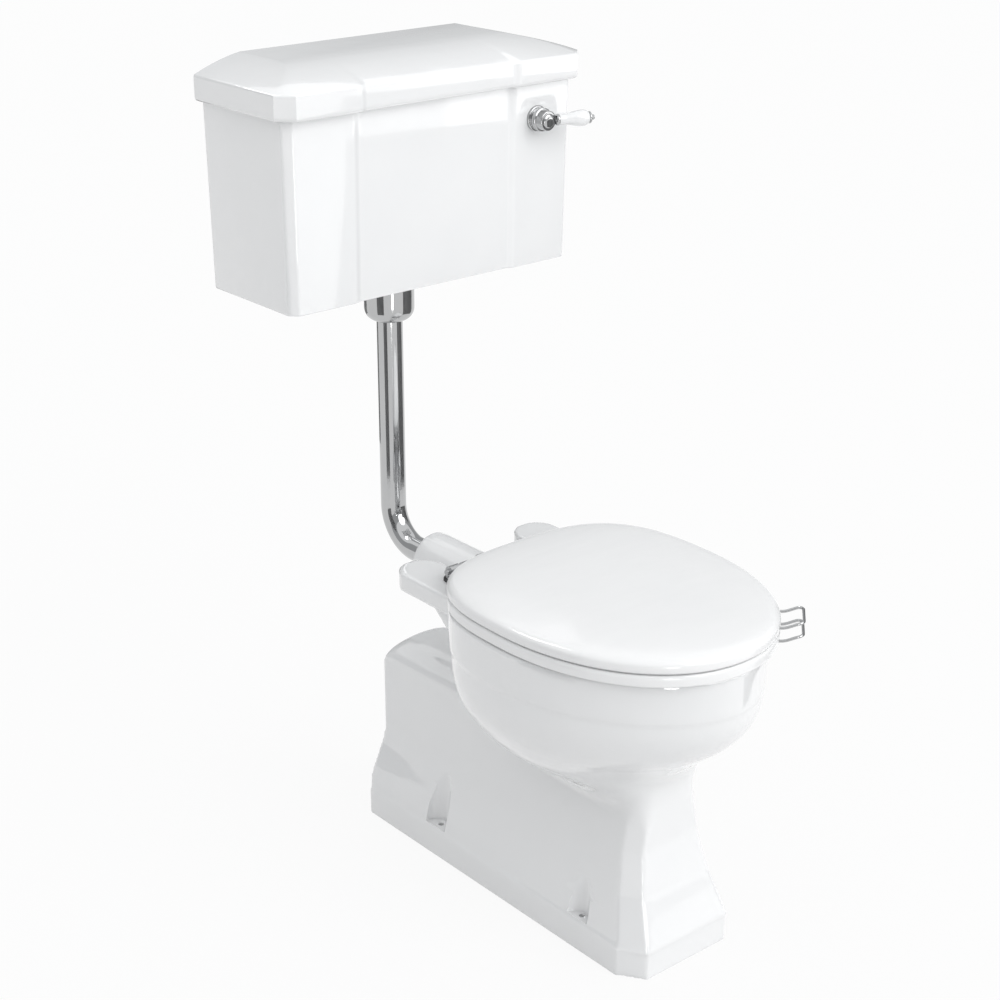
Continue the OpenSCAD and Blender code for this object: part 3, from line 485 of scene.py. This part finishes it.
# the arched cover of the trap, its back end rounded down
def drawHump(bm):
    rings = []
    low, rise = p["footTop"] - 2, p["humpTop"] - p["footTop"] + 2
    for d, k in ((0, 0.5), (2, 0.68), (6, 0.82), (12, 0.92), (20, 0.97), (44, 1), (120, 1), (208, 1), (290, 1)):
        half = p["humpHalf"] - d / 32
        arch = [(half * cos(pi * i / 48), low + rise * k * sin(pi * i / 48) ** 0.75) for i in range(49)]
        rings.append([(x, p["plinthBack"] - 0.1 - d, z) for x, z in [(half, low - 18), *arch, (-half, low - 18)]])
    loft(bm, rings)


def drawEar(bm, side):
    top = p["rimTop"]
    rod(bm, (side * p["earX"], p["earY"], top - p["earThick"]), (side * p["earX"], p["earY"], top), p["earR"])


def drawEarRoot(bm, side):
    left, right = sorted((side * p["earRootX"], side * (p["earX"] + p["earR"])))
    block(bm, (left, -205, p["rimTop"] - p["earThick"]), (right, p["earY"], p["rimTop"]))


def drawGusset(bm, side):
    low = p["rimTop"] - p["earThick"]
    across(bm, [(-205, low - 38), (-171, low - 34), (-143, low - 12), (-125, low + 2), (-205, low + 2)],
           side * 76, side * 126)


def drawWell(bm):
    rings = [level(egg(*shape), z) for z, *shape in p["well"]]
    rings += [level(bowlInside(z), z) for z in steps(p["neck"], 400, 4)]
    loft(bm, rings + [level(rimOutline(p["wall"]), p["curtainFoot"] + 0.7)])


def drawOpening(bm):
    top, land = p["rimTop"], p["land"]
    loft(bm, [level(rimOutline(i), z) for z, i in
              ((p["curtainFoot"] - 1, land), (top - 5, land), (top - 2, land - 1), (top + 2, land - 5))])


# the rinsing channel inside the rim
def drawChannel(bm):
    low, high = p["curtainFoot"] - 0.4, p["rimTop"] - 12
    loft(bm, [level(rimOutline(i), z) for z, i in ((low, 14.6), (high, 14.6), (high, 26), (low, 26))], closed=True)


# up from the outlet, over the weir and down to the foot of the well
def drawTrapway(bm):
    bend, centreZ = p["trapBend"], p["humpTop"] - 115
    path = [(0, 0, -2), (0, 0, centreZ / 2)]
    path += [(0, bend * (cos(a) - 1), centreZ + bend * sin(a))
             for a in (radians(p["trapTurn"]) * i / 30 for i in range(31))]
    fall = radians(p["trapTurn"] - 90)
    reach = (path[-1][1] - p["wellY"]) / cos(fall)
    path += [(0, path[-1][1] - cos(fall) * reach, path[-1][2] - sin(fall) * reach)]
    tube(bm, path, p["trapR"], 72)


# the slip is smoothed hardest where the bowl grows out of the foot, and the well inside it is left alone
def flow(pan):
    bm = bmesh.new()
    bm.from_mesh(pan.data)
    for low, high, back, times in p["flow"]:
        chosen = [v for v in bm.verts if low / 1000 < v.co.z < high / 1000 and v.co.y < back / 1000
                  and (abs(v.co.x) > p["flowHalf"] / 1000 or v.co.y < p["flowFront"] / 1000)]
        for _ in range(times):
            bmesh.ops.smooth_vert(bm, verts=chosen, factor=0.5, use_axis_x=True, use_axis_y=True, use_axis_z=True)
    bm.to_mesh(pan.data)
    bm.free()


# a niche has a flat ledge, an eased floor edge and upright sides
def drawNiche(bm, x, y, low, r):
    loft(bm, [[(x + k * cos(a), y + k * sin(a), z) for a in (2 * pi * i / 64 for i in range(64))]
              for z, k in ((low, r - 1.6), (low + 0.5, r - 0.6), (low + 1.6, r), (low + 140, r))])


def makePan():
    bm = bmesh.new()
    drawBowl(bm)
    pan = pieceFrom(bm, "panGlazed", "base", china)
    for draw in (drawBand, drawFoot, drawNeck, drawPlinth, drawHump):
        merge(pan, draw)
    for side in (-1, 1):
        for draw in (drawEar, drawEarRoot, drawGusset):
            merge(pan, draw, side)
    end, z = p["spigotEnd"], p["spigotZ"]
    merge(pan, rod, (0, end - 4, z), (0, end - p["spigotLong"], z), p["spigotR"])
    merge(pan, rod, (0, end, z), (0, end - 4.1, z), p["spigotR"] - 3, p["spigotR"])
    for draw in (drawWell, drawOpening, drawChannel, drawTrapway):
        cut(pan, draw)
    for half, outline in (p["frontHollow"], p["backHollow"]):
        cut(pan, across, outline, -half, half)
    for side in (-1, 1):
        x, y = side * p["postX"], p["postY"]
        cut(pan, rod, (x, y, 387), (x, y, 437), p["nutRoom"])
    # the flush inlet: the spigot's bore, and the slot by which it opens into the rim
    cut(pan, rod, (0, end + 3, z), (0, end - p["boreLong"], z), p["boreR"])
    cut(pan, block, (-22, -186, p["curtainFoot"] + 3), (22, -142, p["curtainFoot"] + 25))
    # the slip runs together where the parts join, so the whole is drawn over with one skin
    settle(pan, "REMESH", mode="VOXEL", voxel_size=p["voxel"], use_smooth_shade=True)
    settle(pan, "SMOOTH", factor=0.5, iterations=p["melt"])
    flow(pan)
    settle(pan, "DECIMATE", ratio=min(1, p["faces"] / len(pan.data.polygons)))
    settle(pan, "SMOOTH", factor=0.3, iterations=2)
    # what is cut from here on stays crisp
    for side in (-1, 1):
        for x, y, r in p["niches"]:
            cut(pan, drawNiche, side * x, y, p["plinthTop"] + 1, r)
        for _, y, _ in p["niches"]:
            cut(pan, rod, (side * p["screwX"], y, -3), (side * p["screwX"], y, 60), p["screwR"])
        x, y = side * p["postX"], p["postY"]
        cut(pan, rod, (x, y, 430), (x, y, 470), p["postHole"])
    shade(pan.data, 50)
    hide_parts("pan")
    print("pan:", len(pan.data.polygons), "faces")


makePan()


# a smooth curve through profile points, for edges without facets
def eased(points, count=4):
    out = []
    for i in range(len(points) - 1):
        around = [points[max(0, i - 1)], points[i], points[i + 1], points[min(len(points) - 1, i + 2)]]
        for k in range(count):
            t = k / count
            weights = (-t / 2 + t * t - t ** 3 / 2, 1 - 2.5 * t * t + 1.5 * t ** 3,
                       t / 2 + 2 * t * t - 1.5 * t ** 3, -t * t / 2 + t ** 3 / 2)
            out.append(tuple(sum(w * q[j] for w, q in zip(weights, around)) for j in range(len(points[0]))))
    return out + [tuple(points[-1])]


# each profile is a list of (height above the underside, distance in from the outline)
seatSize = {
    "ringZ": 468, "lidZ": 487, "innerHalf": 131, "innerFront": 192, "innerBack": 116,
    "ringLugX": 72, "lidLugX": 48, "lugHalf": 9.1, "tongueEnd": -223, "tongueThick": 4,
    "ringOuter": [(0, 2.2), (0.3, 1.2), (1, 0.4), (2.4, 0), (5, 0), (9, 0), (12.5, 0.3), (14.8, 1.3), (16, 2.9),
                  (16, 6)],
    "ringInner": [(16, -12), (15.4, -7.4), (13.6, -3.2), (10.5, -0.6), (7.5, 0.4), (3.5, 0.2), (1.4, -0.9),
                  (0.4, -2.2), (0, -4)],
    "lidUnder": [(11.2, 120), (11, 80), (8, 44), (4, 28)],
    "lidEdge": [(0, 24), (0, 2.0), (0.3, 1.0), (0.9, 0.3), (2.4, 0), (6, 0), (9.4, 0.3), (12, 1.5), (14.2, 3.6),
                (15.8, 6.2), (17, 9.6), (18.7, 18), (20.4, 34), (22, 56), (23.2, 84), (23.9, 118), (24.1, 150),
                (24.15, 176)],
}


# the room in the ring or the lid for the tongue of a hinge lug
def drawRecess(bm, x, z):
    s = seatSize
    block(bm, (x - s["lugHalf"], s["tongueEnd"] - 0.1, z - 1), (x + s["lugHalf"], -60, z + s["tongueThick"] + 0.02))


def makeSeatRing():
    s = seatSize
    z, half, front, back = s["ringZ"], s["innerHalf"], s["innerFront"], s["innerBack"]
    rings = [level(seatOutline(inset), z + h) for h, inset in eased(s["ringOuter"])]
    rings += [level(egg(half - g, front - g, back - g, midY), z + h) for h, g in eased(s["ringInner"])]
    bm = bmesh.new()
    loft(bm, rings, closed=True)
    ring = pieceFrom(bm, "seatRingMoulding", "seat", seatPlastic)
    for x in (-s["ringLugX"], s["ringLugX"]):
        cut(ring, drawRecess, x, z)
    ring.data.set_sharp_from_angle(angle=radians(50))
    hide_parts("seat_ring")


def makeSeatLid():
    s = seatSize
    z = s["lidZ"]
    profile = eased(s["lidUnder"], 3) + [(1, 26.4)] + eased(s["lidEdge"])
    bm = bmesh.new()
    loft(bm, [level(seatOutline(inset), z + h) for h, inset in profile])
    lid = pieceFrom(bm, "seatLidMoulding", "lid", seatPlastic)
    for x in (-s["lidLugX"], s["lidLugX"]):
        cut(lid, drawRecess, x, z)
    lid.data.set_sharp_from_angle(angle=radians(50))
    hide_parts("seat_lid")


handleSize = {"x": 110.4, "y": -566, "turn": -47, "width": 50, "reach": 28.6, "rise": 7.8, "inside": 12, "corner": 8,
              "wire": 2, "ringZ": 475, "lidZ": 493.5}


def makeHandle(name, node, body, z):
    h = handleSize
    half, reach, corner, a = h["width"] / 2, h["reach"], h["corner"], radians(h["turn"])
    arm = [(x, -half) for x in (-h["inside"], -6, 0, 3, 6, 9, 12, 15, 18, reach - corner)]
    bend = [(reach - corner + corner * sin(t), corner - half - corner * cos(t))
            for t in (pi / 2 * i / 10 for i in range(1, 11))]
    side = arm + bend
    path = side + [(reach, 0)] + [(x, -y) for x, y in reversed(side)]
    bm = bmesh.new()
    tube(bm, [(h["x"] + x * cos(a) - y * sin(a), h["y"] + x * sin(a) + y * cos(a), z + h["rise"] * ease(x / reach))
              for x, y in path], h["wire"], 24)
    handle = pieceFrom(bm, name, body, chrome, 50)
    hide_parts(node)


makeSeatRing()
makeSeatLid()
makeHandle("seatHandleWire", "seat_handle", "seat", handleSize["ringZ"])
makeHandle("lidHandleWire", "lid_handle", "lid", handleSize["lidZ"])
print("seat, lid and handles made")


cisternSize = {
    "foot": 835, "top": 1096, "half": 244.5, "depth": 188, "wallY": 190, "leanWide": 4, "leanDeep": 5,
    "chamfer": 12, "panelX": 134, "panelIn": 4, "panelStep": 15, "wall": 10, "floor": 12, "insideChamfer": 10,
    "tailHole": 25, "valveX": -190, "valveHole": 11.5, "pipeY": 115,
    "leverX": 178, "leverZ": 1046, "leverSpot": 18.6, "leverHole": 8.5, "screwX": 150, "screwZ": 1060, "screwHole": 4,
    "lidHalf": 260, "lidOut": 15, "lidChamfer": 20.6, "band": 36, "ceiling": 12,
    # edge of the band as (height, inset) at its foot and (depth, inset) at its top
    "bandFoot": [(0, 6.5), (0.3, 4.4), (1.0, 2.7), (2.2, 1.4), (3.8, 0.6), (6, 0.1), (8, 0)],
    "bandTop": [(5, 0), (3.2, 0.1), (1.6, 0.5), (0.5, 1.1)],
    "crown": 22, "crownEnd": 73, "crownBulge": 0.45, "crownFront": 114, "crownSwell": 1.8,
}


def caseFront(z):
    c = cisternSize
    return c["wallY"] - c["depth"] - c["leanDeep"] * (z - c["foot"]) / (c["top"] - c["foot"])


# plan of the case: chamfered front corners, and a front that steps back by the panel's depth
def caseOutline(half, front, chamfer, x, depth):
    step = [(-x + cisternSize["panelStep"] * (i / 12 - 0.5), front + depth * ease(i / 12)) for i in range(13)]
    left = [(-half, cisternSize["wallY"]), (-half, front + chamfer), (chamfer - half, front)] + step
    return left + [(-u, v) for u, v in reversed(left)]


def caseInside(z, inset):
    c = cisternSize
    half = c["half"] + c["leanWide"] * (z - c["foot"]) / (c["top"] - c["foot"]) - c["wall"] - inset
    front, back = caseFront(z) + c["wall"] + c["panelIn"] + inset, c["wallY"] - c["wall"] - inset
    corner = c["insideChamfer"]
    return [(-half, back), (-half, front + corner), (corner - half, front), (half - corner, front),
            (half, front + corner), (half, back)]


def drawInside(bm, low, high, insetLow, insetHigh):
    loft(bm, [level(caseInside(low, insetLow), low), level(caseInside(high, insetHigh), high)])


# the rib under the lid that keeps it on the case
def drawRib(bm):
    low, high = cisternSize["top"] - 9, cisternSize["top"] + 2
    outer, inner = caseInside(cisternSize["top"], 2), caseInside(cisternSize["top"], 8)
    loft(bm, [level(outer, low), level(outer, high), level(inner, high), level(inner, low)], closed=True)


def makeCistern():
    c = cisternSize
    foot, top, half, y = c["foot"], c["top"], c["half"], c["pipeY"]
    bm = bmesh.new()
    loft(bm, [level(caseOutline(half, caseFront(foot), c["chamfer"], c["panelX"], c["panelIn"]), foot),
              level(caseOutline(half + c["leanWide"], caseFront(top), c["chamfer"] + 0.6, c["panelX"], c["panelIn"]),
                    top)])
    case = pieceFrom(bm, "cisternCase", "base", cisternChina)
    settle(case, "BEVEL", width=0.0024, segments=4, limit_method="ANGLE", angle_limit=radians(28), profile=0.5)
    cut(case, drawInside, foot + c["floor"], top + 4, 4, 0)
    cut(case, rod, (0, y, foot - 1), (0, y, foot + 20), c["tailHole"])
    cut(case, rod, (c["valveX"], y, foot - 1), (c["valveX"], y, foot + 20), c["valveHole"])
    x, z = c["leverX"], c["leverZ"]
    spot = caseFront(z) + 0.6
    cut(case, rod, (x, spot - 8, z), (x, spot, z), c["leverSpot"])
    cut(case, rod, (x, spot - 5, z), (x, spot + 30, z), c["leverHole"])
    for x in (-c["screwX"], c["screwX"]):
        cut(case, rod, (x, c["wallY"] - 20, c["screwZ"]), (x, c["wallY"] + 4, c["screwZ"]), c["screwHole"])
    shade(case.data, 35)
    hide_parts("cistern")


# the crown bulges a little from the ends, and more from the front, to a flat top with an edge
def crownRing(k):
    c = cisternSize
    bulge, inset = c["crownBulge"], 1.6
    end = c["crownEnd"] * (1 + bulge - ((1 + bulge) ** 2 - 4 * bulge * k) ** 0.5) / (2 * bulge)
    back = c["crownFront"] * (1 - (1 - k) ** (1 / c["crownSwell"]))
    return caseOutline(c["lidHalf"] - inset - end, caseFront(c["top"]) - c["lidOut"] + inset + back,
                       20 * (1 - k) + 0.6, c["panelX"] - 3 - 5 * k, c["panelIn"] * (1 - k) + 0.05)


def makeCisternLid():
    c = cisternSize
    top, band, crown, half = c["top"], c["band"], c["crown"], c["lidHalf"]
    front = caseFront(top) - c["lidOut"]
    edge = c["bandFoot"] + [(band - d, i) for d, i in c["bandTop"]]
    rings = [level(caseOutline(half - i, front + i, c["lidChamfer"], c["panelX"] - 3, c["panelIn"]), top + h)
             for h, i in edge]
    rings += [level(crownRing(i / 30), top + band + crown * i / 30) for i in range(31)]
    bm = bmesh.new()
    loft(bm, rings)
    lid = pieceFrom(bm, "cisternLidMoulding", "cistern_cover", cisternChina)
    cut(lid, drawInside, top - 1, top + band - c["ceiling"], 8, 10)
    merge(lid, drawRib)
    shade(lid.data, 32)
    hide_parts("cistern_lid")


makeCistern()
makeCisternLid()
print("cistern and lid made")


pipeSize = {
    "radius": 19, "y": 115, "bend": 57, "outletZ": 415, "top": 821, "into": -24, "nutFoot": 760,
    # (radius, height) of the nut's outside, up to its wall and over its lip, then of its inside
    "nutFlare": [(19.1, 0), (20.5, 0), (23.5, 0.7), (27.5, 2.4), (31.5, 5.6), (34.6, 10.4), (36.1, 15), (36.5, 20)],
    "nutLip": [(36.4, 70), (36.1, 72), (35.2, 73.8), (34.4, 74.7), (33.6, 74.8)],
    "nutInside": [(33.5, 53), (24.1, 53), (24.1, 13), (19.1, 13)],
}


def makeFlushPipe():
    s = pipeSize
    bend, y, low = s["bend"], s["y"], s["outletZ"]
    path = [(0, s["into"], low), (0, 20, low), (0, y - bend - 8, low)]
    path += [(0, y - bend + bend * sin(a), low + bend - bend * cos(a)) for a in (pi / 2 * i / 36 for i in range(37))]
    path += [(0, y, low + bend + 8), (0, y, 600), (0, y, s["top"] - 40), (0, y, s["top"])]
    bm = bmesh.new()
    tube(bm, path, s["radius"], 96)
    pipe = pieceFrom(bm, "flushPipeTube", "base", chrome, 50)
    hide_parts("flush_pipe")


def makeCupNut():
    s = pipeSize
    profile = eased(s["nutFlare"]) + [(36.5, 69.6)] + eased(s["nutLip"], 3) + s["nutInside"]
    bm = bmesh.new()
    turned(bm, profile, (0, s["y"], s["nutFoot"]), steps=144)
    nut = pieceFrom(bm, "cupNutTurned", "base", chrome, 40)
    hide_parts("pipe_nut")


# each profile is a list of (radius, distance along the axis)
leverSize = {
    "x": 178, "z": 1046, "spotY": -1.44, "bossY": -14.74, "handleY": -22.24, "turn": -20,
    "gripStart": 19, "gripEnd": 64,
    # its flange, a groove, a second ring and the shank through the wall
    "bush": [(5.1, -13), (15.4, -13), (16.1, -12.8), (16.5, -12.2), (16.5, -8.9), (16.1, -8.2), (15.2, -8), (15, -7.6),
             (15, -4.5), (15.4, -4.1), (17.2, -4), (17.8, -3.6), (18, -3), (18, 0), (8, 0), (8, 26), (5.1, 26)],
    "cap": [(0, -16), (4, -15.95), (7, -15.5), (9.2, -14.6), (10, -13.6), (10.2, -13.05)],
    "boss": [(12.9, -13), (13.6, -12.7), (14, -12), (14, -2.2), (14.3, -1.7), (15.9, -1.5), (16.4, -1.1), (16.5, -0.5),
             (16.5, 0), (5, 0), (5, 64), (0, 64)],
    "neck": [(0, 6), (6.2, 6), (5.7, 8), (5.2, 10.5), (5.1, 12), (5.5, 13.2), (6.5, 14.1), (7.7, 15), (8.2, 16),
             (8.2, 18.2), (7.7, 18.9), (2, 18.9), (2, 66), (0, 66)],
    "gripLow": [(2.1, 0), (6.4, 0), (6.85, 0.3)],
    "finial": [(0, 0), (7.8, 0), (8.3, 0.3), (8.5, 0.9), (8.5, 1.8), (8.2, 2.4), (7.2, 2.8), (5.2, 3.4), (3.9, 4.1),
               (3.1, 4.9), (3.2, 5.6), (3.75, 6.4), (3.8, 7.1), (3.4, 7.9), (2.4, 8.5), (1.2, 8.8), (0, 8.9)],
}


# a chromed or china piece of the lever, turned about its own axis
def turnedPiece(name, body, material, profile, at, axis, closed=False):
    bm = bmesh.new()
    turned(bm, profile, at, axis, closed=closed)
    return pieceFrom(bm, name, body, material, 40)


def makeLever():
    s = leverSize
    x, z, inwards = s["x"], s["z"], (0, 1, 0)
    bush = turnedPiece("leverBushTurned", "base", chrome, s["bush"], (x, s["spotY"], z), inwards, True)
    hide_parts("lever_bush")

    boss = turnedPiece("leverBossTurned", "lever", chrome, eased(s["cap"]) + s["boss"], (x, s["bossY"], z),
                       inwards)
    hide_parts("lever_spindle")

    a = radians(s["turn"])
    along = (cos(a), sin(a), 0)

    def onHandle(d):
        return (x + d * along[0], s["handleY"] + d * along[1], z)

    stem = turnedPiece("leverHandleTurned", "lever", chrome, s["neck"], onHandle(0), along)
    cut(stem, rod, (x, s["bossY"] - 17, z), (x, s["bossY"] + 4, z), 14)
    stem.data.set_sharp_from_angle(angle=radians(40))
    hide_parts("lever_handle")

    # the grip is fuller towards its tip
    n = s["gripEnd"] - s["gripStart"]
    swollen = [(7 + 4.5 * ease(t * 1.25) - 3.5 * (max(0, t - 0.8) * 5) ** 2, n * t)
               for t in (i / 30 for i in range(1, 30))]
    gripProfile = s["gripLow"] + swollen + [(7.7, n - 0.25), (7.1, n), (2.1, n)]
    grip = turnedPiece("leverGripTurned", "lever", gripChina, gripProfile, onHandle(s["gripStart"]), along,
                       True)
    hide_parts("lever_grip")

    finial = turnedPiece("leverFinialTurned", "lever", chrome, s["finial"], onHandle(s["gripEnd"] + 0.1),
                         along)
    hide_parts("lever_finial")


makeFlushPipe()
makeCupNut()
makeLever()
print("pipe, nut and lever made")


# these keep the shape that the frame gives them
plainPieces = [
    (rubber, ["flush_cone", "pipe_olive", "tail_washer", "lever_washer", "valve_washer", "post_washers",
              "seat_buffers", "lid_buffers", "siphon_plate"]),
    (whitePlastic, ["tail_backnut", "lever_backnut", "valve_backnut", "post_nuts", "siphon", "siphon_lift", "float"]),
    (brass, ["lift_link", "lever_arm", "valve_body", "valve_plunger", "float_arm"]),
    (chrome, ["hinge_rods", "hinge_posts", "seat_lugs", "lid_lugs"]),
]
for material, names in plainPieces:
    for name in names:
        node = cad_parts[name]
        if not node.material_slots:
            node.data.materials.append(material)
        for slot in node.material_slots:
            slot.material = material
print("finishes given to", sum(len(names) for _, names in plainPieces), "nodes")


# pale floor, with the share of plain white in what the camera and the chrome see of it
floorSize = {"half": 30, "tone": 0.72, "spread": 0.01, "white": 0.9}


def makeStage():
    f = floorSize
    bm = bmesh.new()
    bmesh.ops.create_grid(bm, x_segments=2, y_segments=2, size=f["half"])
    finish = Finish("Pale floor", Base_Color=grey(f["tone"]), Roughness=0.9)
    grain = finish.noise(3, 2)
    finish.set(Base_Color=finish.blend(grain, grey(f["tone"] - f["spread"]), grey(f["tone"] + f["spread"])))
    floor = pieceFrom(bm, "floor", None, finish.material)
    # the rest of what they see is the lit floor, so it keeps its shadow
    ray = finish.node("ShaderNodeLightPath")
    seen = (Varying(finish, ray.outputs["Is Camera Ray"]) + Varying(finish, ray.outputs["Is Glossy Ray"])).atMost(1)
    glow = finish.node("ShaderNodeEmission", None, {"Color": (1, 1, 1, 1), "Strength": 1.0})
    both = finish.node("ShaderNodeMixShader", None,
                       {0: seen * f["white"], 1: finish.surface.outputs[0], 2: glow.outputs[0]})
    finish.tree.links.new(both.outputs[0], finish.tree.nodes["Material Output"].inputs[0])


# dark boards round the stage, as a studio uses to draw lines in chrome: first and last angle, distance, height
boards = [(-62, -6, 1.25, 0.9), (-184, -152, 1.3, 1.0), (64, 108, 1.5, 1.4)]


# only reflections show them
def makeBoards():
    finish = Finish("Dark board", Base_Color=grey(0.24), Roughness=1.0)
    patch = finish.noise(2, 2)
    finish.set(Base_Color=finish.blend(patch, grey(0.2), grey(0.28)))
    for i, (start, end, distance, high) in enumerate(boards):
        angles = [radians(start + (end - start) * k / 12) for k in range(13)]
        bm = bmesh.new()
        verts = [bm.verts.new((distance * cos(a), pipeSize["y"] / 1000 + distance * sin(a), 0.01)) for a in angles]
        edges = [bm.edges.new(pair) for pair in zip(verts, verts[1:])]
        grown = bmesh.ops.extrude_edge_only(bm, edges=edges)["geom"]
        bmesh.ops.translate(bm, verts=[g for g in grown if isinstance(g, bmesh.types.BMVert)], vec=(0, 0, high))
        board = pieceFrom(bm, "board" + str(i), None, finish.material)
        board.visible_camera = board.visible_diffuse = board.visible_shadow = False


# the world is plain white to the camera and a pale room to the object
def makeWorld(strength):
    world = bpy.data.worlds.new("Studio")
    bpy.context.scene.world = world
    world.use_nodes = True
    tree = world.node_tree
    tree.nodes.clear()

    def add(kind, sockets):
        made = tree.nodes.new(kind)
        for key, value in sockets.items():
            if isinstance(value, bpy.types.NodeSocket):
                tree.links.new(value, made.inputs[key])
            else:
                made.inputs[key].default_value = value
        return made

    lit = add("ShaderNodeBackground", {"Color": (0.97, 0.985, 1, 1), "Strength": strength})
    seen = add("ShaderNodeBackground", {"Color": (1, 1, 1, 1), "Strength": 1.0})
    ray = add("ShaderNodeLightPath", {})
    both = add("ShaderNodeMixShader", {0: ray.outputs["Is Camera Ray"], 1: lit.outputs[0], 2: seen.outputs[0]})
    add("ShaderNodeOutputWorld", {0: both.outputs[0]})


# name, place, target and power, then a sun's angle or a panel's width and height
suns = [("key", (0.8, -3.2, 2.3), (0, 0, 0.4), 1.42, 50), ("overhead", (-0.3, 0, 4), (0, 0, 0), 1.2, 110)]
sideBox = ("side box", (2.3, -2.3, 1.5), (0, -0.1, 0.6), 7, 0.9, 2.2)
gleams = [("gleam right", (1.05, -1.02, 0.5), (0.2, 0, 0.95), 5, 0.5, 0.7),
          ("gleam left", (-0.9, -2.0, 0.45), (0, 0, 0.5), 4, 0.3, 0.8),
          ("gleam above", (-0.9, 0.9, 2.6), (0, -0.1, 0.9), 12, 0.5, 0.9)]


def makeLamp(name, kind, place, target, power, **shape):
    data = bpy.data.lights.new(name, kind)
    data.energy = power
    for key, value in shape.items():
        setattr(data, key, value)
    lamp = bpy.data.objects.new(name, data)
    bpy.context.scene.collection.objects.link(lamp)
    lamp.location = place
    lamp.rotation_euler = (Vector(target) - Vector(place)).to_track_quat("-Z", "Y").to_euler()
    return lamp


def makePanelLamp(name, place, target, power, wide, high):
    return makeLamp(name, "AREA", place, target, power, shape="RECTANGLE", size=wide, size_y=high)


def makeLamps():
    for name, place, target, power, angle in suns:
        makeLamp(name, "SUN", place, target, power, angle=radians(angle))
    makePanelLamp(*sideBox)
    # a gleam is a bright panel that only the glaze and the chrome mirror
    for gleam in gleams:
        makePanelLamp(*gleam).visible_diffuse = False


cameraPlace = {"location": (-1.6699, -2.1164, 1.6173), "azimuth": -40.1, "elevation": 22.3, "lens": 72.05}


def makeCamera():
    c = cameraPlace
    az, el = radians(c["azimuth"]), radians(c["elevation"])
    data = bpy.data.cameras.new("camera")
    data.lens, data.sensor_width, data.clip_end = c["lens"], 36, 100
    camera = bpy.data.objects.new("camera", data)
    bpy.context.scene.collection.objects.link(camera)
    camera.location = c["location"]
    back = Vector((sin(az) * cos(el), -cos(az) * cos(el), sin(el)))
    camera.rotation_euler = back.to_track_quat("Z", "Y").to_euler()
    bpy.context.scene.camera = camera


makeStage()
makeBoards()
makeWorld(0.50)
makeLamps()
makeCamera()
bpy.context.scene.view_settings.view_transform = "Standard"
print("stage, lamps and camera set")
